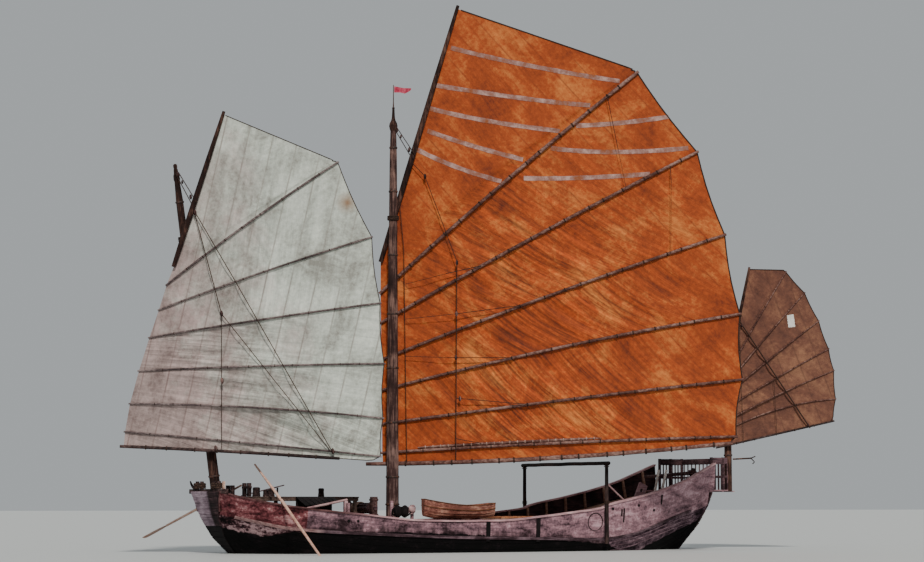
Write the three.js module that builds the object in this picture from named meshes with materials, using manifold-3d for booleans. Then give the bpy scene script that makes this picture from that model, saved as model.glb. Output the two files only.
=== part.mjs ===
// A three-masted Chinese junk, afloat under sail.
// Millimetres. The origin is on the centreline at the waterline, amidships.
// +X is forward, +Y is port, +Z is up, and z = 0 is the water's surface.
import * as THREE from "three";
import { mergeVertices } from "three/addons/utils/BufferGeometryUtils.js";
import Module from "manifold-3d";

const wasm = await Module();
wasm.setup();

// Driving dimensions
const GAP = 0.3;              // between pieces that touch
const PLANK = 90;             // bulwark planking
const CAP_HEIGHT = 70;        // rail cap on the bulwarks
const CAP_OVERHANG = 60;
const WALE_THICK = 60;        // rubbing wale
const WALE_HEIGHT = 120;
const BOARD = 60;             // planks over the bow and the stern
const SAIL_SWING = 30;        // degrees to port of the centreline, all three sails
const CLOTH = 12;             // sailcloth with its seams and lacing
const BELLY = 110;            // how far a panel fills between two battens
const FULL_DEPTH = 1200;      // panels shallower than this fill less
const RUNNING = 0.6;          // clearance of what turns about a pin, mast or stock

// Colours of the woods, cloths and paints
const paint = (name, color, roughness) =>
  new THREE.MeshStandardMaterial({ name, color, roughness, metalness: 0 });
const MATERIAL = {
  hull: paint("hull", 0x5c4247, 0.85),
  topside: paint("topside", 0x7b5f66, 0.85),
  rail: paint("rail", 0xa98388, 0.8),
  deck: paint("deck", 0x8a6a58, 0.85),
  spar: paint("spar", 0x3c2622, 0.75),
  batten: paint("batten", 0x6e4a42, 0.8),
  mainCloth: paint("main_cloth", 0xc0611f, 0.9),
  foreCloth: paint("fore_cloth", 0xb9bdb2, 0.9),
  mizzenCloth: paint("mizzen_cloth", 0x7a4a36, 0.9),
  boat: paint("boat", 0xb0704a, 0.75),
  oar: paint("oar", 0xc99a86, 0.75),
  flag: paint("flag", 0xb03a48, 0.9),
};

const ship = new THREE.Group();

function add(name, geometry, material, parent = ship) {
  const mesh = new THREE.Mesh(geometry, material);
  mesh.name = name;
  parent.add(mesh);
  return mesh;
}

// A closed skin through rings of equally many points, with flat ends. In a thin
// sheet the second half of each ring runs back over the first, and its faces are
// split the other way, so that both sides fold along the same lines.
function loft(rings, thinSheet = false) {
  const count = rings[0].length;
  const position = rings.flat().flatMap((p) => [p.x, p.y, p.z]);
  const index = [];
  for (let i = 0; i + 1 < rings.length; i++) {
    for (let j = 0; j < count; j++) {
      const a = i * count + j;
      const b = i * count + ((j + 1) % count);
      if (thinSheet && 2 * j >= count) index.push(a, b, a + count, b, b + count, a + count);
      else index.push(a, b, b + count, a, b + count, a + count);
    }
  }
  const cap = (ring, first, flip) => {
    const normal = new THREE.Vector3();
    ring.forEach((p, k) => normal.add(p.clone().cross(ring[(k + 1) % count])));
    normal.normalize();
    const across = new THREE.Vector3(1, 0, 0);
    if (Math.abs(normal.x) > 0.7) across.set(0, 1, 0);
    const u = across.clone().cross(normal).normalize();
    const v = normal.clone().cross(u);
    const flat = ring.map((p) => new THREE.Vector2(p.dot(u), p.dot(v)));
    for (const [a, b, c] of THREE.ShapeUtils.triangulateShape(flat, [])) {
      if (flip) index.push(first + a, first + c, first + b);
      else index.push(first + a, first + b, first + c);
    }
  };
  cap(rings[0], 0, true);
  cap(rings[rings.length - 1], (rings.length - 1) * count, false);
  const geometry = new THREE.BufferGeometry();
  geometry.setAttribute("position", new THREE.Float32BufferAttribute(position, 3));
  geometry.setIndex(index);
  return outward(geometry);
}

// Turns a closed skin so that its faces point out
function outward(geometry) {
  const p = geometry.attributes.position;
  const at = (i) => new THREE.Vector3().fromBufferAttribute(p, i);
  const index = Array.from(geometry.index.array);
  let volume = 0;
  for (let i = 0; i < index.length; i += 3) {
    volume += at(index[i]).dot(at(index[i + 1]).cross(at(index[i + 2])));
  }
  if (volume < 0) {
    for (let i = 0; i < index.length; i += 3) {
      [index[i + 1], index[i + 2]] = [index[i + 2], index[i + 1]];
    }
    geometry.setIndex(index);
  }
  return geometry;
}

function toManifold(geometry) {
  const bare = geometry.clone();
  bare.deleteAttribute("normal");
  bare.deleteAttribute("uv");
  const merged = mergeVertices(bare, 1e-3);
  return new wasm.Manifold(new wasm.Mesh({
    numProp: 3,
    vertProperties: new Float32Array(merged.attributes.position.array),
    triVerts: new Uint32Array(merged.index.array),
  }));
}

function fromManifold(solid) {
  const mesh = solid.getMesh();
  const geometry = new THREE.BufferGeometry();
  geometry.setAttribute("position", new THREE.BufferAttribute(mesh.vertProperties, 3));
  geometry.setIndex(new THREE.BufferAttribute(mesh.triVerts, 1));
  return geometry;
}

function union(...parts) {
  return fromManifold(parts.map(toManifold).reduce((sum, next) => sum.add(next)));
}

function cut(geometry, ...holes) {
  return fromManifold(holes.map(toManifold)
    .reduce((rest, next) => rest.subtract(next), toManifold(geometry)));
}

function box([x0, x1], [y0, y1], [z0, z1]) {
  const geometry = new THREE.BoxGeometry(x1 - x0, y1 - y0, z1 - z0);
  return geometry.translate((x0 + x1) / 2, (y0 + y1) / 2, (z0 + z1) / 2);
}

// A round spar through points, with a radius at each of them
function spar(points, radii, sides = 8) {
  const along = points[points.length - 1].clone().sub(points[0]).normalize();
  const side = new THREE.Vector3(0, 1, 0);
  if (Math.abs(along.y) > 0.9) side.set(1, 0, 0);
  side.addScaledVector(along, -side.dot(along)).normalize();
  const other = along.clone().cross(side);
  return loft(points.map((point, i) =>
    Array.from({ length: sides }, (_, k) => {
      const angle = (2 * Math.PI * k) / sides;
      return point.clone()
        .addScaledVector(side, radii[i] * Math.cos(angle))
        .addScaledVector(other, radii[i] * Math.sin(angle));
    })));
}

const V = (x, y, z) => new THREE.Vector3(x, y, z);

// The corner radius of a bore with flat sides in which a round of this radius turns freely
const bored = (radius, sides) => (radius + RUNNING) / Math.cos(Math.PI / sides);

// Hull stations from bow to stern. Half-breadths are from the centreline, and
// fullness is the exponent of the section's curve: 1 is a V, 2 an ellipse.
const STATIONS = [
  // x, rail height, rail half-breadth, wale height, deck height, keel height, keel half-breadth, fullness
  [11240, 2350, 1480, 1600, 1700, 1430, 840, 1.2],
  [10850, 2220, 1850, 1470, 1620, 650, 560, 1.3],
  [10250, 2070, 2280, 1310, 1520, 0, 300, 1.4],
  [9300, 1890, 2640, 1090, 1380, -600, 200, 1.6],
  [8000, 1720, 2890, 940, 1200, -1100, 180, 1.9],
  [6000, 1530, 3040, 830, 1010, -1400, 170, 2.2],
  [3600, 1310, 3110, 720, 850, -1580, 170, 2.5],
  [1900, 1285, 3140, 660, 790, -1660, 170, 2.6],
  [0, 1295, 3150, 620, 780, -1700, 170, 2.6],
  [-1900, 1450, 3140, 590, 810, -1680, 170, 2.5],
  [-3400, 1610, 3100, 560, 870, -1620, 170, 2.4],
  [-4850, 1790, 3060, 540, 980, -1510, 170, 2.2],
  [-5100, 1900, 3060, 550, 1010, -1480, 170, 2.2],
  [-6600, 2210, 2950, 740, 1450, -1250, 220, 2.0],
  [-8000, 2530, 2800, 1130, 1800, -950, 300, 1.7],
  [-9400, 2950, 2600, 1530, 2150, -420, 600, 1.4],
  [-10000, 3200, 2500, 1680, 2270, 0, 1000, 1.3],
  [-10660, 3480, 2380, 1840, 2390, 1100, 1600, 1.2],
  [-10870, 3570, 2340, 1950, 2430, 1850, 2000, 1.2],
].map(([x, railZ, railY, waleZ, deckZ, keelZ, keelY, fullness]) =>
  ({ x, railZ, railY, waleZ, deckZ, keelZ, keelY, fullness }));

// Half-breadth of a station at height z
function breadth(s, z) {
  const t = Math.min(Math.max((z - s.keelZ) / (s.railZ - s.keelZ), 0), 1);
  return s.keelY + (s.railY - s.keelY) * (1 - (1 - t) ** s.fullness) ** (1 / s.fullness);
}

// A value of the table at any x between two stations
function between(key, x) {
  const i = Math.max(1, STATIONS.findIndex((s) => s.x <= x));
  const [a, b] = [STATIONS[i - 1], STATIONS[i]];
  return THREE.MathUtils.mapLinear(x, a.x, b.x, a[key], b[key]);
}

const HULL_LEVELS = [0, 0.1, 0.25, 0.45, 0.7, 1];   // shares of the height from keel to wale

function hullBody() {
  return loft(STATIONS.map((s) => {
    const side = HULL_LEVELS.map((share) => s.keelZ + share * (s.waleZ - s.keelZ))
      .concat(s.deckZ)
      .map((z) => V(s.x, breadth(s, z), z));
    const mirror = side.map((p) => V(p.x, -p.y, p.z)).reverse();
    return side.concat(mirror);
  }));
}

// Masts: foot is where the axis meets the deck, radii are given up the axis
const MAIN_MAST = { foot: V(3240, 0, 0), rake: 0,
  radii: [[400, 280], [1500, 265], [10600, 195], [16200, 150], [17100, 120]] };
const FORE_MAST = { foot: V(10960, 0, 2100), rake: Math.atan(0.1475),
  radii: [[-900, 205], [2000, 195], [12900, 145]] };
const MIZZEN_MAST = { foot: V(-12180, 1740, 0), rake: 0,
  radii: [[2450, 165], [8000, 140], [11000, 110]] };

function mastGeometry(mast, grow = 0) {
  const first = mast.radii[0];
  const last = mast.radii[mast.radii.length - 1];
  const profile = [
    new THREE.Vector2(0, first[0] - grow),
    ...mast.radii.map(([h, r], i) => new THREE.Vector2(r + grow, i ? h : h - grow)),
    new THREE.Vector2(0, last[0]),
  ];
  const geometry = new THREE.LatheGeometry(profile, 16).rotateX(Math.PI / 2);
  return geometry.rotateY(mast.rake).translate(...mast.foot.toArray());
}

// Pieces let into the deck go down to this much below its surface
const LET_IN = 40;

// Fore platform: a raised deck on posts between the fore mast and the windlass
const PLATFORM = { x: [5400, 10400], half: 1250, top: 2200, thick: 120, post: 130,
  postX: [5520, 7900, 10280] };
const WINDLASS = { x: 4700, axisZ: 1750, bittY: 1150, bitt: 240, top: 2200, radius: 210, journal: 90 };
const HATCH = { x: [-4400, -900], half: 1600, top: 1400, wall: 90, cover: 60 };
const BOAT = { x: [-400, 2800], y: 1750, half: 600, keelZ: 1330, sheer: 560, rise: 160, plank: 50 };
const CHOCK = { x: [350, 2050], half: 420, wide: 120 };

function letInto(x0, x1, y0, y1, top) {
  const low = Math.min(between("deckZ", x0), between("deckZ", x1)) - LET_IN;
  return { piece: box([x0, x1], [y0, y1], [low, top]),
    pocket: box([x0 - GAP, x1 + GAP], [y0 - GAP, y1 + GAP], [low - GAP, top + 2000]) };
}

function platform() {
  const { x, half, top, thick, post, postX } = PLATFORM;
  const posts = postX.flatMap((px) => [-1, 1].map((side) => {
    const y = side * (half - post);
    return letInto(px - post / 2, px + post / 2, y - post / 2, y + post / 2, top - thick / 2);
  }));
  return { geometry: union(box(x, [-half, half], [top - thick, top]), ...posts.map((p) => p.piece)),
    pockets: posts.map((p) => p.pocket) };
}

function windlassFrame() {
  const { x, axisZ, bittY, bitt, top, journal } = WINDLASS;
  const bitts = [-1, 1].map((side) => letInto(x - bitt / 2, x + bitt / 2,
    side * bittY - bitt / 2, side * bittY + bitt / 2, top));
  const sill = box([x + bitt / 2 - 60, x + bitt / 2 + 60], [-bittY, bittY], [1150, 1330]);
  const bore = spar([V(x, -bittY - bitt, axisZ), V(x, bittY + bitt, axisZ)],
    [bored(journal, 24), bored(journal, 24)], 24);
  return { geometry: cut(union(...bitts.map((b) => b.piece), sill), bore),
    pockets: bitts.map((b) => b.pocket) };
}

function windlassBarrel() {
  const { x, axisZ, bittY, bitt, radius, journal } = WINDLASS;
  const inner = bittY - bitt / 2 - 20;
  const outer = bittY + bitt / 2 + 60;
  const drum = spar([V(x, -inner, axisZ), V(x, -inner + 300, axisZ), V(x, inner - 300, axisZ), V(x, inner, axisZ)],
    [radius + 40, radius, radius, radius + 40], 8);
  const axle = spar([V(x, -outer, axisZ), V(x, outer, axisZ)], [journal, journal], 16);
  return union(drum, axle);
}

function hatchCoaming() {
  const { x, half, top, wall, cover } = HATCH;
  const low = Math.min(between("deckZ", x[0]), between("deckZ", x[1]), between("deckZ", -1900)) - LET_IN;
  const rim = (grow, deeper) => cut(
    box([x[0] - grow, x[1] + grow], [-half - grow, half + grow], [low - deeper, top - cover]),
    box([x[0] + wall + grow, x[1] - wall - grow], [-half + wall + grow, half - wall - grow], [-5000, 5000]));
  return { geometry: rim(0, 0), pockets: [rim(GAP, GAP)] };
}

function chocks() {
  const { x, half, wide } = CHOCK;
  const feet = x.map((cx) => letInto(cx - wide / 2, cx + wide / 2,
    BOAT.y - half, BOAT.y + half, BOAT.keelZ - GAP));
  const runner = box(x, [BOAT.y - 60, BOAT.y + 60], [1000, 1120]);
  return { geometry: union(...feet.map((f) => f.piece), runner), pockets: feet.map((f) => f.pocket) };
}

// The ship's own boat: share of the length, half-breadth share, keel lift share
const BOAT_SECTIONS = [[0, 0.45, 0.5], [0.2, 0.82, 0], [0.5, 1, 0], [0.8, 0.75, 0], [1, 0.22, 0.7]];

function shipBoat() {
  const { x, y, half, keelZ, sheer, rise, plank } = BOAT;
  const rings = (shrink) => BOAT_SECTIONS.map(([share, wide, lift]) => {
    const px = THREE.MathUtils.lerp(x[0] + shrink, x[1] - shrink, share);
    const w = half * wide - shrink;
    const low = keelZ + lift * rise + shrink;
    const high = keelZ + sheer + rise * (2 * share - 1) ** 2 + (shrink ? 200 : 0);
    const chine = low + 0.35 * (high - low);
    return [V(px, y - w, high), V(px, y - 0.8 * w, chine), V(px, y - 0.35 * w, low),
      V(px, y + 0.35 * w, low), V(px, y + 0.8 * w, chine), V(px, y + w, high)];
  });
  const shell = cut(loft(rings(0)), loft(rings(plank)));
  const thwart = ([x0, x1]) => box([x0, x1], [y - 0.72 * half, y + 0.72 * half], [keelZ + 330, keelZ + 370]);
  return union(shell, thwart([800, 1000]), thwart([1500, 1700]));
}

// Bulwarks with their rail caps, standing on the hull's edge
const BULWARK_STERN = { x: -11100, railZ: 3660, railY: 2300, deckZ: 2450, deckY: 2200 };
const BULWARK_BOW = { foot: [11285, 1000], head: [11412, 1200], railZ: 2400 };   // foot and head: x, half-breadth

function bulwark(side) {
  const ring = (xLow, xHigh, footY, footZ, railY, railZ) => [
    [xLow, footY, footZ], [xHigh, railY, railZ - CAP_HEIGHT],
    [xHigh, railY + CAP_OVERHANG, railZ - CAP_HEIGHT], [xHigh, railY + CAP_OVERHANG, railZ],
    [xHigh, railY - PLANK - CAP_OVERHANG, railZ], [xHigh, railY - PLANK - CAP_OVERHANG, railZ - CAP_HEIGHT],
    [xHigh, railY - PLANK, railZ - CAP_HEIGHT], [xLow, footY - PLANK, footZ],
  ].map(([x, y, z]) => V(x, side * y, z));
  const bow = STATIONS[0];
  const end = BULWARK_STERN;
  return loft([
    ring(BULWARK_BOW.foot[0], BULWARK_BOW.head[0], BULWARK_BOW.foot[1], bow.deckZ + GAP + 5,
      BULWARK_BOW.head[1], BULWARK_BOW.railZ),
    ...STATIONS.map((s) => ring(s.x, s.x, breadth(s, s.deckZ), s.deckZ + GAP, s.railY, s.railZ)),
    ring(end.x, end.x, end.deckY, end.deckZ, end.railY, end.railZ),
  ]);
}

function wale(side) {
  return loft(STATIONS.map((s) => {
    const inner = breadth(s, s.waleZ) + GAP;
    const outer = inner + WALE_THICK;
    return [[inner, s.waleZ - WALE_HEIGHT], [outer, s.waleZ - WALE_HEIGHT], [outer, s.waleZ], [inner, s.waleZ]]
      .map(([y, z]) => V(s.x, side * y, z));
  }).slice(1, -2));
}

// Moves a line of x, z points sideways by a distance, with mitred corners
function offsetLine(points, distance) {
  const normal = (a, b) => new THREE.Vector2(b[1] - a[1], a[0] - b[0]).normalize();
  return points.map((p, i) => {
    const before = i > 0 ? normal(points[i - 1], p) : null;
    const after = i + 1 < points.length ? normal(p, points[i + 1]) : null;
    const mean = before && after ? before.clone().add(after).normalize() : (before || after);
    const stretch = before && after ? 1 / mean.dot(before) : 1;
    return [p[0] + mean.x * distance * stretch, p[1] + mean.y * distance * stretch];
  });
}

// Planks over a raked end of the hull: rows of x, z and half-breadth, going up
function endPlanks(rows, outside, thick = BOARD, gap = GAP) {
  const line = rows.map(([x, z]) => [x, z]);
  const inner = offsetLine(line, outside * gap);
  const outer = offsetLine(line, outside * (gap + thick));
  return loft(rows.map(([, , half], i) => [
    V(inner[i][0], half, inner[i][1]), V(inner[i][0], -half, inner[i][1]),
    V(outer[i][0], -half, outer[i][1]), V(outer[i][0], half, outer[i][1])]));
}

const endRows = (stations) => stations.map((s) => [s.x, s.keelZ, s.keelY]);

// The rudder hangs on a raked stock behind the stern planks
const RUDDER = { rake: 0.28, atZ: 1100, atX: -10950, stock: 110, lowZ: -2350, topZ: 3450,
  blade: 90, bladeTop: -50, fore: 240, aft: 1350 };
const stockPoint = (z) => V(RUDDER.atX - RUDDER.rake * (z - RUDDER.atZ), 0, z);
const STOCK_AXIS = stockPoint(1).sub(stockPoint(0)).normalize();

function rudderStock(grow = 0, sides = 12) {
  return spar([stockPoint(RUDDER.lowZ), stockPoint(RUDDER.topZ)],
    [RUDDER.stock + grow, RUDDER.stock + grow], sides);
}

function rudder() {
  const { blade, fore, aft, lowZ, bladeTop } = RUDDER;
  const low = stockPoint(lowZ + 150);
  const high = stockPoint(bladeTop);
  const outline = new THREE.Shape([
    [high.x + fore, high.z], [high.x - 0.35 * aft, high.z], [high.x - 0.8 * aft, high.z - 500],
    [low.x - aft, low.z + 350], [low.x - 0.9 * aft, low.z], [low.x + fore, low.z],
  ].map(([x, z]) => new THREE.Vector2(x, z)));
  for (const [across, up] of [[0.35, 0.25], [0.65, 0.25], [0.35, 0.5], [0.65, 0.5], [0.35, 0.75]]) {
    const cx = THREE.MathUtils.lerp(low.x, high.x, up) - across * aft;
    const cz = THREE.MathUtils.lerp(low.z, high.z, up);
    outline.holes.push(new THREE.Path([[70, 0], [0, 110], [-70, 0], [0, -110]]
      .map(([dx, dz]) => new THREE.Vector2(cx + dx, cz + dz))));
  }
  const plate = new THREE.ExtrudeGeometry(outline, { depth: blade, bevelEnabled: false })
    .translate(0, 0, -blade / 2).rotateX(Math.PI / 2);
  return union(plate, rudderStock());
}

// Brackets on the stern planks that carry the stock
function sternPlanks() {
  const rows = [...endRows(STATIONS.slice(-3)), [-11010, 2425, 2150]];
  const bracket = (z) => {
    const at = stockPoint(z);
    return box([at.x - 190, at.x + 330], [-180, 180], [z - 70, z + 70]);
  };
  const inside = endPlanks(rows.map(([x, z, half]) => [x, z, half + 200]), 1, 900, -GAP);
  const brackets = [1350, 2050].map((z) => cut(bracket(z), inside));
  return cut(union(endPlanks(rows, -1), ...brackets), rudderStock(bored(RUDDER.stock, 48) - RUDDER.stock, 48));
}

// Tiller: a bar with a boss around the stock's head
const TILLER = { z: 3250, boss: 190, length: 2500, drop: 180, radius: 60 };

function tiller() {
  const head = stockPoint(TILLER.z);
  const boss = spar([head.clone().addScaledVector(STOCK_AXIS, -90), head.clone().addScaledVector(STOCK_AXIS, 90)],
    [TILLER.boss, TILLER.boss], 12);
  const bar = spar([head.clone().add(V(100, 0, 0)), head.clone().add(V(TILLER.length, 0, -TILLER.drop))],
    [TILLER.radius * 1.4, TILLER.radius], 8);
  return cut(union(boss, bar), rudderStock(GAP, 24));
}

// Stern gallery: a floor over the stern and an open rail around it
const GALLERY = { x: [-12400, -10450], half: 1990, thick: 90, railTop: 3900, board: 280, post: 110,
  floor: STATIONS[STATIONS.length - 1].deckZ + GAP };
const galleryTop = GALLERY.floor + GALLERY.thick;

function galleryFloor() {
  const slot = stockPoint(galleryTop);
  return cut(box(GALLERY.x, [-GALLERY.half, GALLERY.half], [GALLERY.floor, galleryTop]),
    box([slot.x - 260, slot.x + 260], [-260, 260], [0, 5000]),
    mastGeometry(MIZZEN_MAST, GAP));
}

function galleryRail() {
  const { x, half, railTop, board, post } = GALLERY;
  const aft = x[0];
  const fore = BULWARK_STERN.x - GAP;
  const low = galleryTop + GAP;
  const upright = (px, py) => box([px - post / 2, px + post / 2], [py - post / 2, py + post / 2], [low, railTop]);
  const parts = [];
  for (const side of [-1, 1]) {
    const y = side * (half - post / 2);
    for (const px of [fore - post / 2, (fore + aft) / 2, aft + post / 2]) parts.push(upright(px, y));
    parts.push(box([aft + 20, fore - 10], [y - 40, y + 40], [railTop - board, railTop - 10]));
    parts.push(box([aft + 20, fore - 10], [y - 30, y + 30], [low + 500, low + 600]));
  }
  for (const y of [-900, 0, 900]) parts.push(upright(aft + post / 2, y));
  parts.push(box([aft + 12, aft + 92], [20 - half, half - 20], [railTop - board + 10, railTop - 20]));
  parts.push(box([aft + 25, aft + 85], [20 - half, half - 20], [low + 510, low + 590]));
  return cut(union(...parts), mastGeometry(MIZZEN_MAST, GAP));
}

// Gallows: two posts outside the bulwarks with a beam that takes the lowered boom
const GALLOWS = { x: -4975, postR: 90, low: 300, beamZ: 3560, beamR: 75, overhang: 180 };

function gallows() {
  const { x, postR, low, beamZ, beamR, overhang } = GALLOWS;
  const y = between("railY", x) + CAP_OVERHANG + GAP + postR;
  const posts = [-1, 1].map((side) =>
    spar([V(x, side * y, low), V(x, side * y, beamZ)], [postR, postR], 8));
  const beam = spar([V(x, -y - overhang, beamZ), V(x, y + overhang, beamZ)], [beamR, beamR], 8);
  return union(...posts, beam);
}

const BOW_BEAM = { x: [11245, 11395], half: 1700, height: 180 };
const bowBeamLow = GAP + THREE.MathUtils.mapLinear(BOW_BEAM.x[1], STATIONS[0].x, BULWARK_BOW.head[0],
  STATIONS[0].railZ, BULWARK_BOW.railZ);

// Sweeps: the pin on the rail, then the inboard and outboard ends
const SWEEPS = {
  sweep_port: { pin: V(9450, 2600, 2060), inboard: V(9450, 200, 3450), outboard: V(9450, 7500, -990) },
  sweep_starboard: { pin: V(9900, -2380, 2130), inboard: V(9790, -300, 2640), outboard: V(10220, -9000, 510) },
};
const SWEEP_PIN = 22;

function sweepPin(pin, radius = SWEEP_PIN, sides = 8) {
  return spar([V(pin.x, pin.y, pin.z - 170), V(pin.x, pin.y, pin.z + 110)], [radius, radius], sides);
}

function sweep({ pin, inboard, outboard }) {
  const neck = pin.clone().lerp(outboard, 0.7);
  const loom = spar([inboard, pin, neck], [40, 62, 50], 8);
  const blade = spar([pin.clone().lerp(outboard, 0.66), pin.clone().lerp(outboard, 0.76), outboard],
    [50, 115, 120], 8);
  return cut(union(loom, blade), sweepPin(pin, bored(SWEEP_PIN, 24), 24));
}

// Sails. In a sail's own frame x runs aft from the mast's axis, z up the mast
// and y away from the port side. Spars lie on the cloth's port face.
// Rows: name, spar radius, fore end x and z, aft end x and z, rise of the middle, aft overhang.
// foot gives the cloth's two ends along the boom's line.
const SAILS = {
  main: { mast: MAIN_MAST, side: 520, cloth: MATERIAL.mainCloth, spars: [
    ["boom", 80, -1090, 3530, 13800, 4380, -190, 0],
    ["batten_6", 55, -430, 3980, 13940, 4640, 70, 60],
    ["batten_5", 55, -440, 5150, 14220, 6960, 60, 60],
    ["batten_4", 55, -460, 6520, 14140, 9630, 200, 60],
    ["batten_3", 55, -480, 7760, 13560, 12880, 130, 60],
    ["batten_2", 60, -500, 9270, 12460, 16300, 130, 60],
    ["batten_1", 65, -520, 10500, 10020, 19600, 180, 60]],
  yard: { radius: 120, heel: [-520, 11760], peak: [2640, 22390] }, headAft: [9830, 19760], foot: [-400, 13680] },
  fore: { mast: FORE_MAST, side: -460, cloth: MATERIAL.foreCloth, spars: [
    ["boom", 75, -3400, 2520, 4940, 985, 30, 0],
    ["batten_6", 45, -3140, 3050, 6510, 860, 30, 50],
    ["batten_5", 45, -2820, 4100, 6790, 2310, 130, 50],
    ["batten_4", 45, -2320, 5310, 7100, 4390, 50, 50],
    ["batten_3", 45, -1760, 6530, 7240, 6730, 50, 50],
    ["batten_2", 45, -1260, 7550, 7240, 9300, 80, 50],
    ["batten_1", 50, -840, 8470, 6300, 12330, 120, 50]],
  yard: { radius: 110, heel: [-490, 9120], peak: [2190, 14840] }, headAft: [6130, 12440], foot: [-3260, 6160] },
  mizzen: { mast: MIZZEN_MAST, side: -330, cloth: MATERIAL.mizzenCloth, spars: [
    ["boom", 60, -560, 4300, 4530, 5460, 0, 0],
    ["batten_6", 38, -430, 4900, 4600, 6400, 300, 40],
    ["batten_5", 38, -340, 5320, 4540, 7620, 100, 40],
    ["batten_4", 38, -210, 5930, 4330, 8550, 60, 40],
    ["batten_3", 38, -80, 6560, 3920, 9750, 60, 40],
    ["batten_2", 38, 40, 7130, 3330, 10960, 60, 40],
    ["batten_1", 40, 190, 7850, 2540, 11870, 60, 40]],
  yard: { radius: 85, heel: [-640, 4560], peak: [960, 12070] }, headAft: [2460, 11950], foot: [-500, 4480] },
};
const COLUMNS = 8;            // divisions of the cloth and of each spar along it

// A spar's bowed line: a share of 0 is the fore end and 1 the aft end
function bowed([x0, z0], [x1, z1], rise, share, y) {
  return V(THREE.MathUtils.lerp(x0, x1, share), y, THREE.MathUtils.lerp(z0, z1, share) + 4 * rise * share * (1 - share));
}

function clothGeometry(sail) {
  const { yard, side } = sail;
  const onYard = (z) => THREE.MathUtils.mapLinear(z, yard.heel[1], yard.peak[1], yard.heel[0], yard.peak[0]);
  const [, , x0, z0, x1, z1, sag] = sail.spars[0];
  const footShares = sail.foot.map((x) => (x - x0) / (x1 - x0));
  const [footFore, footAft] = footShares.map((share) => bowed([x0, z0], [x1, z1], sag, share, 0));
  const rows = [{ fore: [footFore.x, footFore.z], aft: [footAft.x, footAft.z],
    rise: sag * (footShares[1] - footShares[0]) ** 2 }];
  for (const [, , foreX, foreZ, aftX, aftZ, rise] of sail.spars.slice(1)) {
    const luffX = foreZ > yard.heel[1] ? onYard(foreZ) : foreX;
    rows.push({ fore: [luffX, foreZ], aft: [aftX, aftZ], rise });
  }
  const top = rows[rows.length - 1];
  const heelZ = Math.max(yard.heel[1], top.fore[1] + 250);
  const halfway = (a, b) => [(a[0] + b[0]) / 2, (a[1] + b[1]) / 2];
  rows.push({ fore: [onYard(heelZ), heelZ], aft: halfway(top.aft, sail.headAft), rise: top.rise });
  const headZ = yard.peak[1] - yard.radius;
  rows.push({ fore: [onYard(headZ), headZ], aft: sail.headAft, rise: 0 });
  const lines = [];
  rows.forEach((row, i) => {
    lines.push({ ...row, fill: 0 });
    const next = rows[i + 1];
    if (!next) return;
    const depth = (next.fore[1] + next.aft[1] - row.fore[1] - row.aft[1]) / 2;
    lines.push({ fore: halfway(row.fore, next.fore), aft: halfway(row.aft, next.aft),
      rise: (row.rise + next.rise) / 2, fill: Math.min(i < rows.length - 3 ? 1 : 0.6, depth / FULL_DEPTH) });
  });
  const sheet = (depth) => lines.map((line) => Array.from({ length: COLUMNS + 1 }, (_, c) => {
    const share = c / COLUMNS;
    const belly = line.fill * BELLY * 4 * share * (1 - share);
    return bowed(line.fore, line.aft, line.rise, share, side + belly + depth);
  }));
  const near = sheet(0);
  const far = sheet(CLOTH);
  return loft(near.map((row, i) => row.concat(far[i].slice().reverse())), true);
}

// A ring around the mast that ties the yard to it, at the height where they cross
const RING = { height: 90, wall: 60 };

function yardGeometry(sail) {
  const { yard, side, mast } = sail;
  const [x0, z0] = yard.heel;
  const [x1, z1] = yard.peak;
  const taper = [[0, 0.75], [0.35, 1], [0.7, 0.85], [1, 0.55]];   // share of the length, share of the radius
  const pole = spar(taper.map(([share, k]) => bowed(yard.heel, yard.peak, 0, share, side - GAP - k * yard.radius)),
    taper.map(([, k]) => k * yard.radius));
  const cross = THREE.MathUtils.mapLinear(0, x0, x1, z0, z1);
  const low = cross - RING.height / 2;
  const i = Math.max(1, mast.radii.findIndex(([h]) => h >= low));
  const [[h0, r0], [h1, r1]] = [mast.radii[i - 1], mast.radii[i]];
  const mastR = THREE.MathUtils.mapLinear(low, h0, h1, r0, r1);
  const round = (radius, height, sides) => new THREE.CylinderGeometry(radius, radius, height, sides)
    .rotateX(Math.PI / 2).translate(0, 0, cross);
  const reach = side - yard.radius;
  const arm = box([-110, -40], [Math.min(0, reach), Math.max(0, reach)], [low, low + RING.height]);
  const bore = round(bored(mastR, 24), 4 * RING.height, 24);
  return union(cut(union(round(mastR + RING.wall, RING.height, 16), arm), bore), pole);
}

function makeSail(name, sail) {
  const up = V(Math.sin(sail.mast.rake), 0, Math.cos(sail.mast.rake));
  const swing = THREE.MathUtils.degToRad(SAIL_SWING);
  const aft = V(-Math.cos(swing), Math.sin(swing), 0);
  aft.addScaledVector(up, -aft.dot(up)).normalize();
  const group = new THREE.Group();
  group.quaternion.setFromRotationMatrix(new THREE.Matrix4().makeBasis(aft, up.clone().cross(aft), up));
  group.position.copy(sail.mast.foot);
  ship.add(group);
  add(`${name}_sail`, clothGeometry(sail), sail.cloth, group);
  add(`${name}_yard`, yardGeometry(sail), MATERIAL.spar, group);
  for (const [part, radius, x0, z0, x1, z1, rise, over] of sail.spars) {
    const length = Math.hypot(x1 - x0, z1 - z0);
    const reach = over / length;
    const points = Array.from({ length: COLUMNS / 2 + 1 }, (_, k) => {
      const share = THREE.MathUtils.lerp(-reach, 1 + reach, (2 * k) / COLUMNS);
      return bowed([x0, z0], [x1, z1], rise, share, sail.side - radius - GAP);
    });
    add(`${name}_${part}`, spar(points, points.map(() => radius), 6), MATERIAL.batten, group);
  }
}

// The ship is put together
const foredeck = platform();
const bitts = windlassFrame();
const coaming = hatchCoaming();
const boatChocks = chocks();

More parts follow.
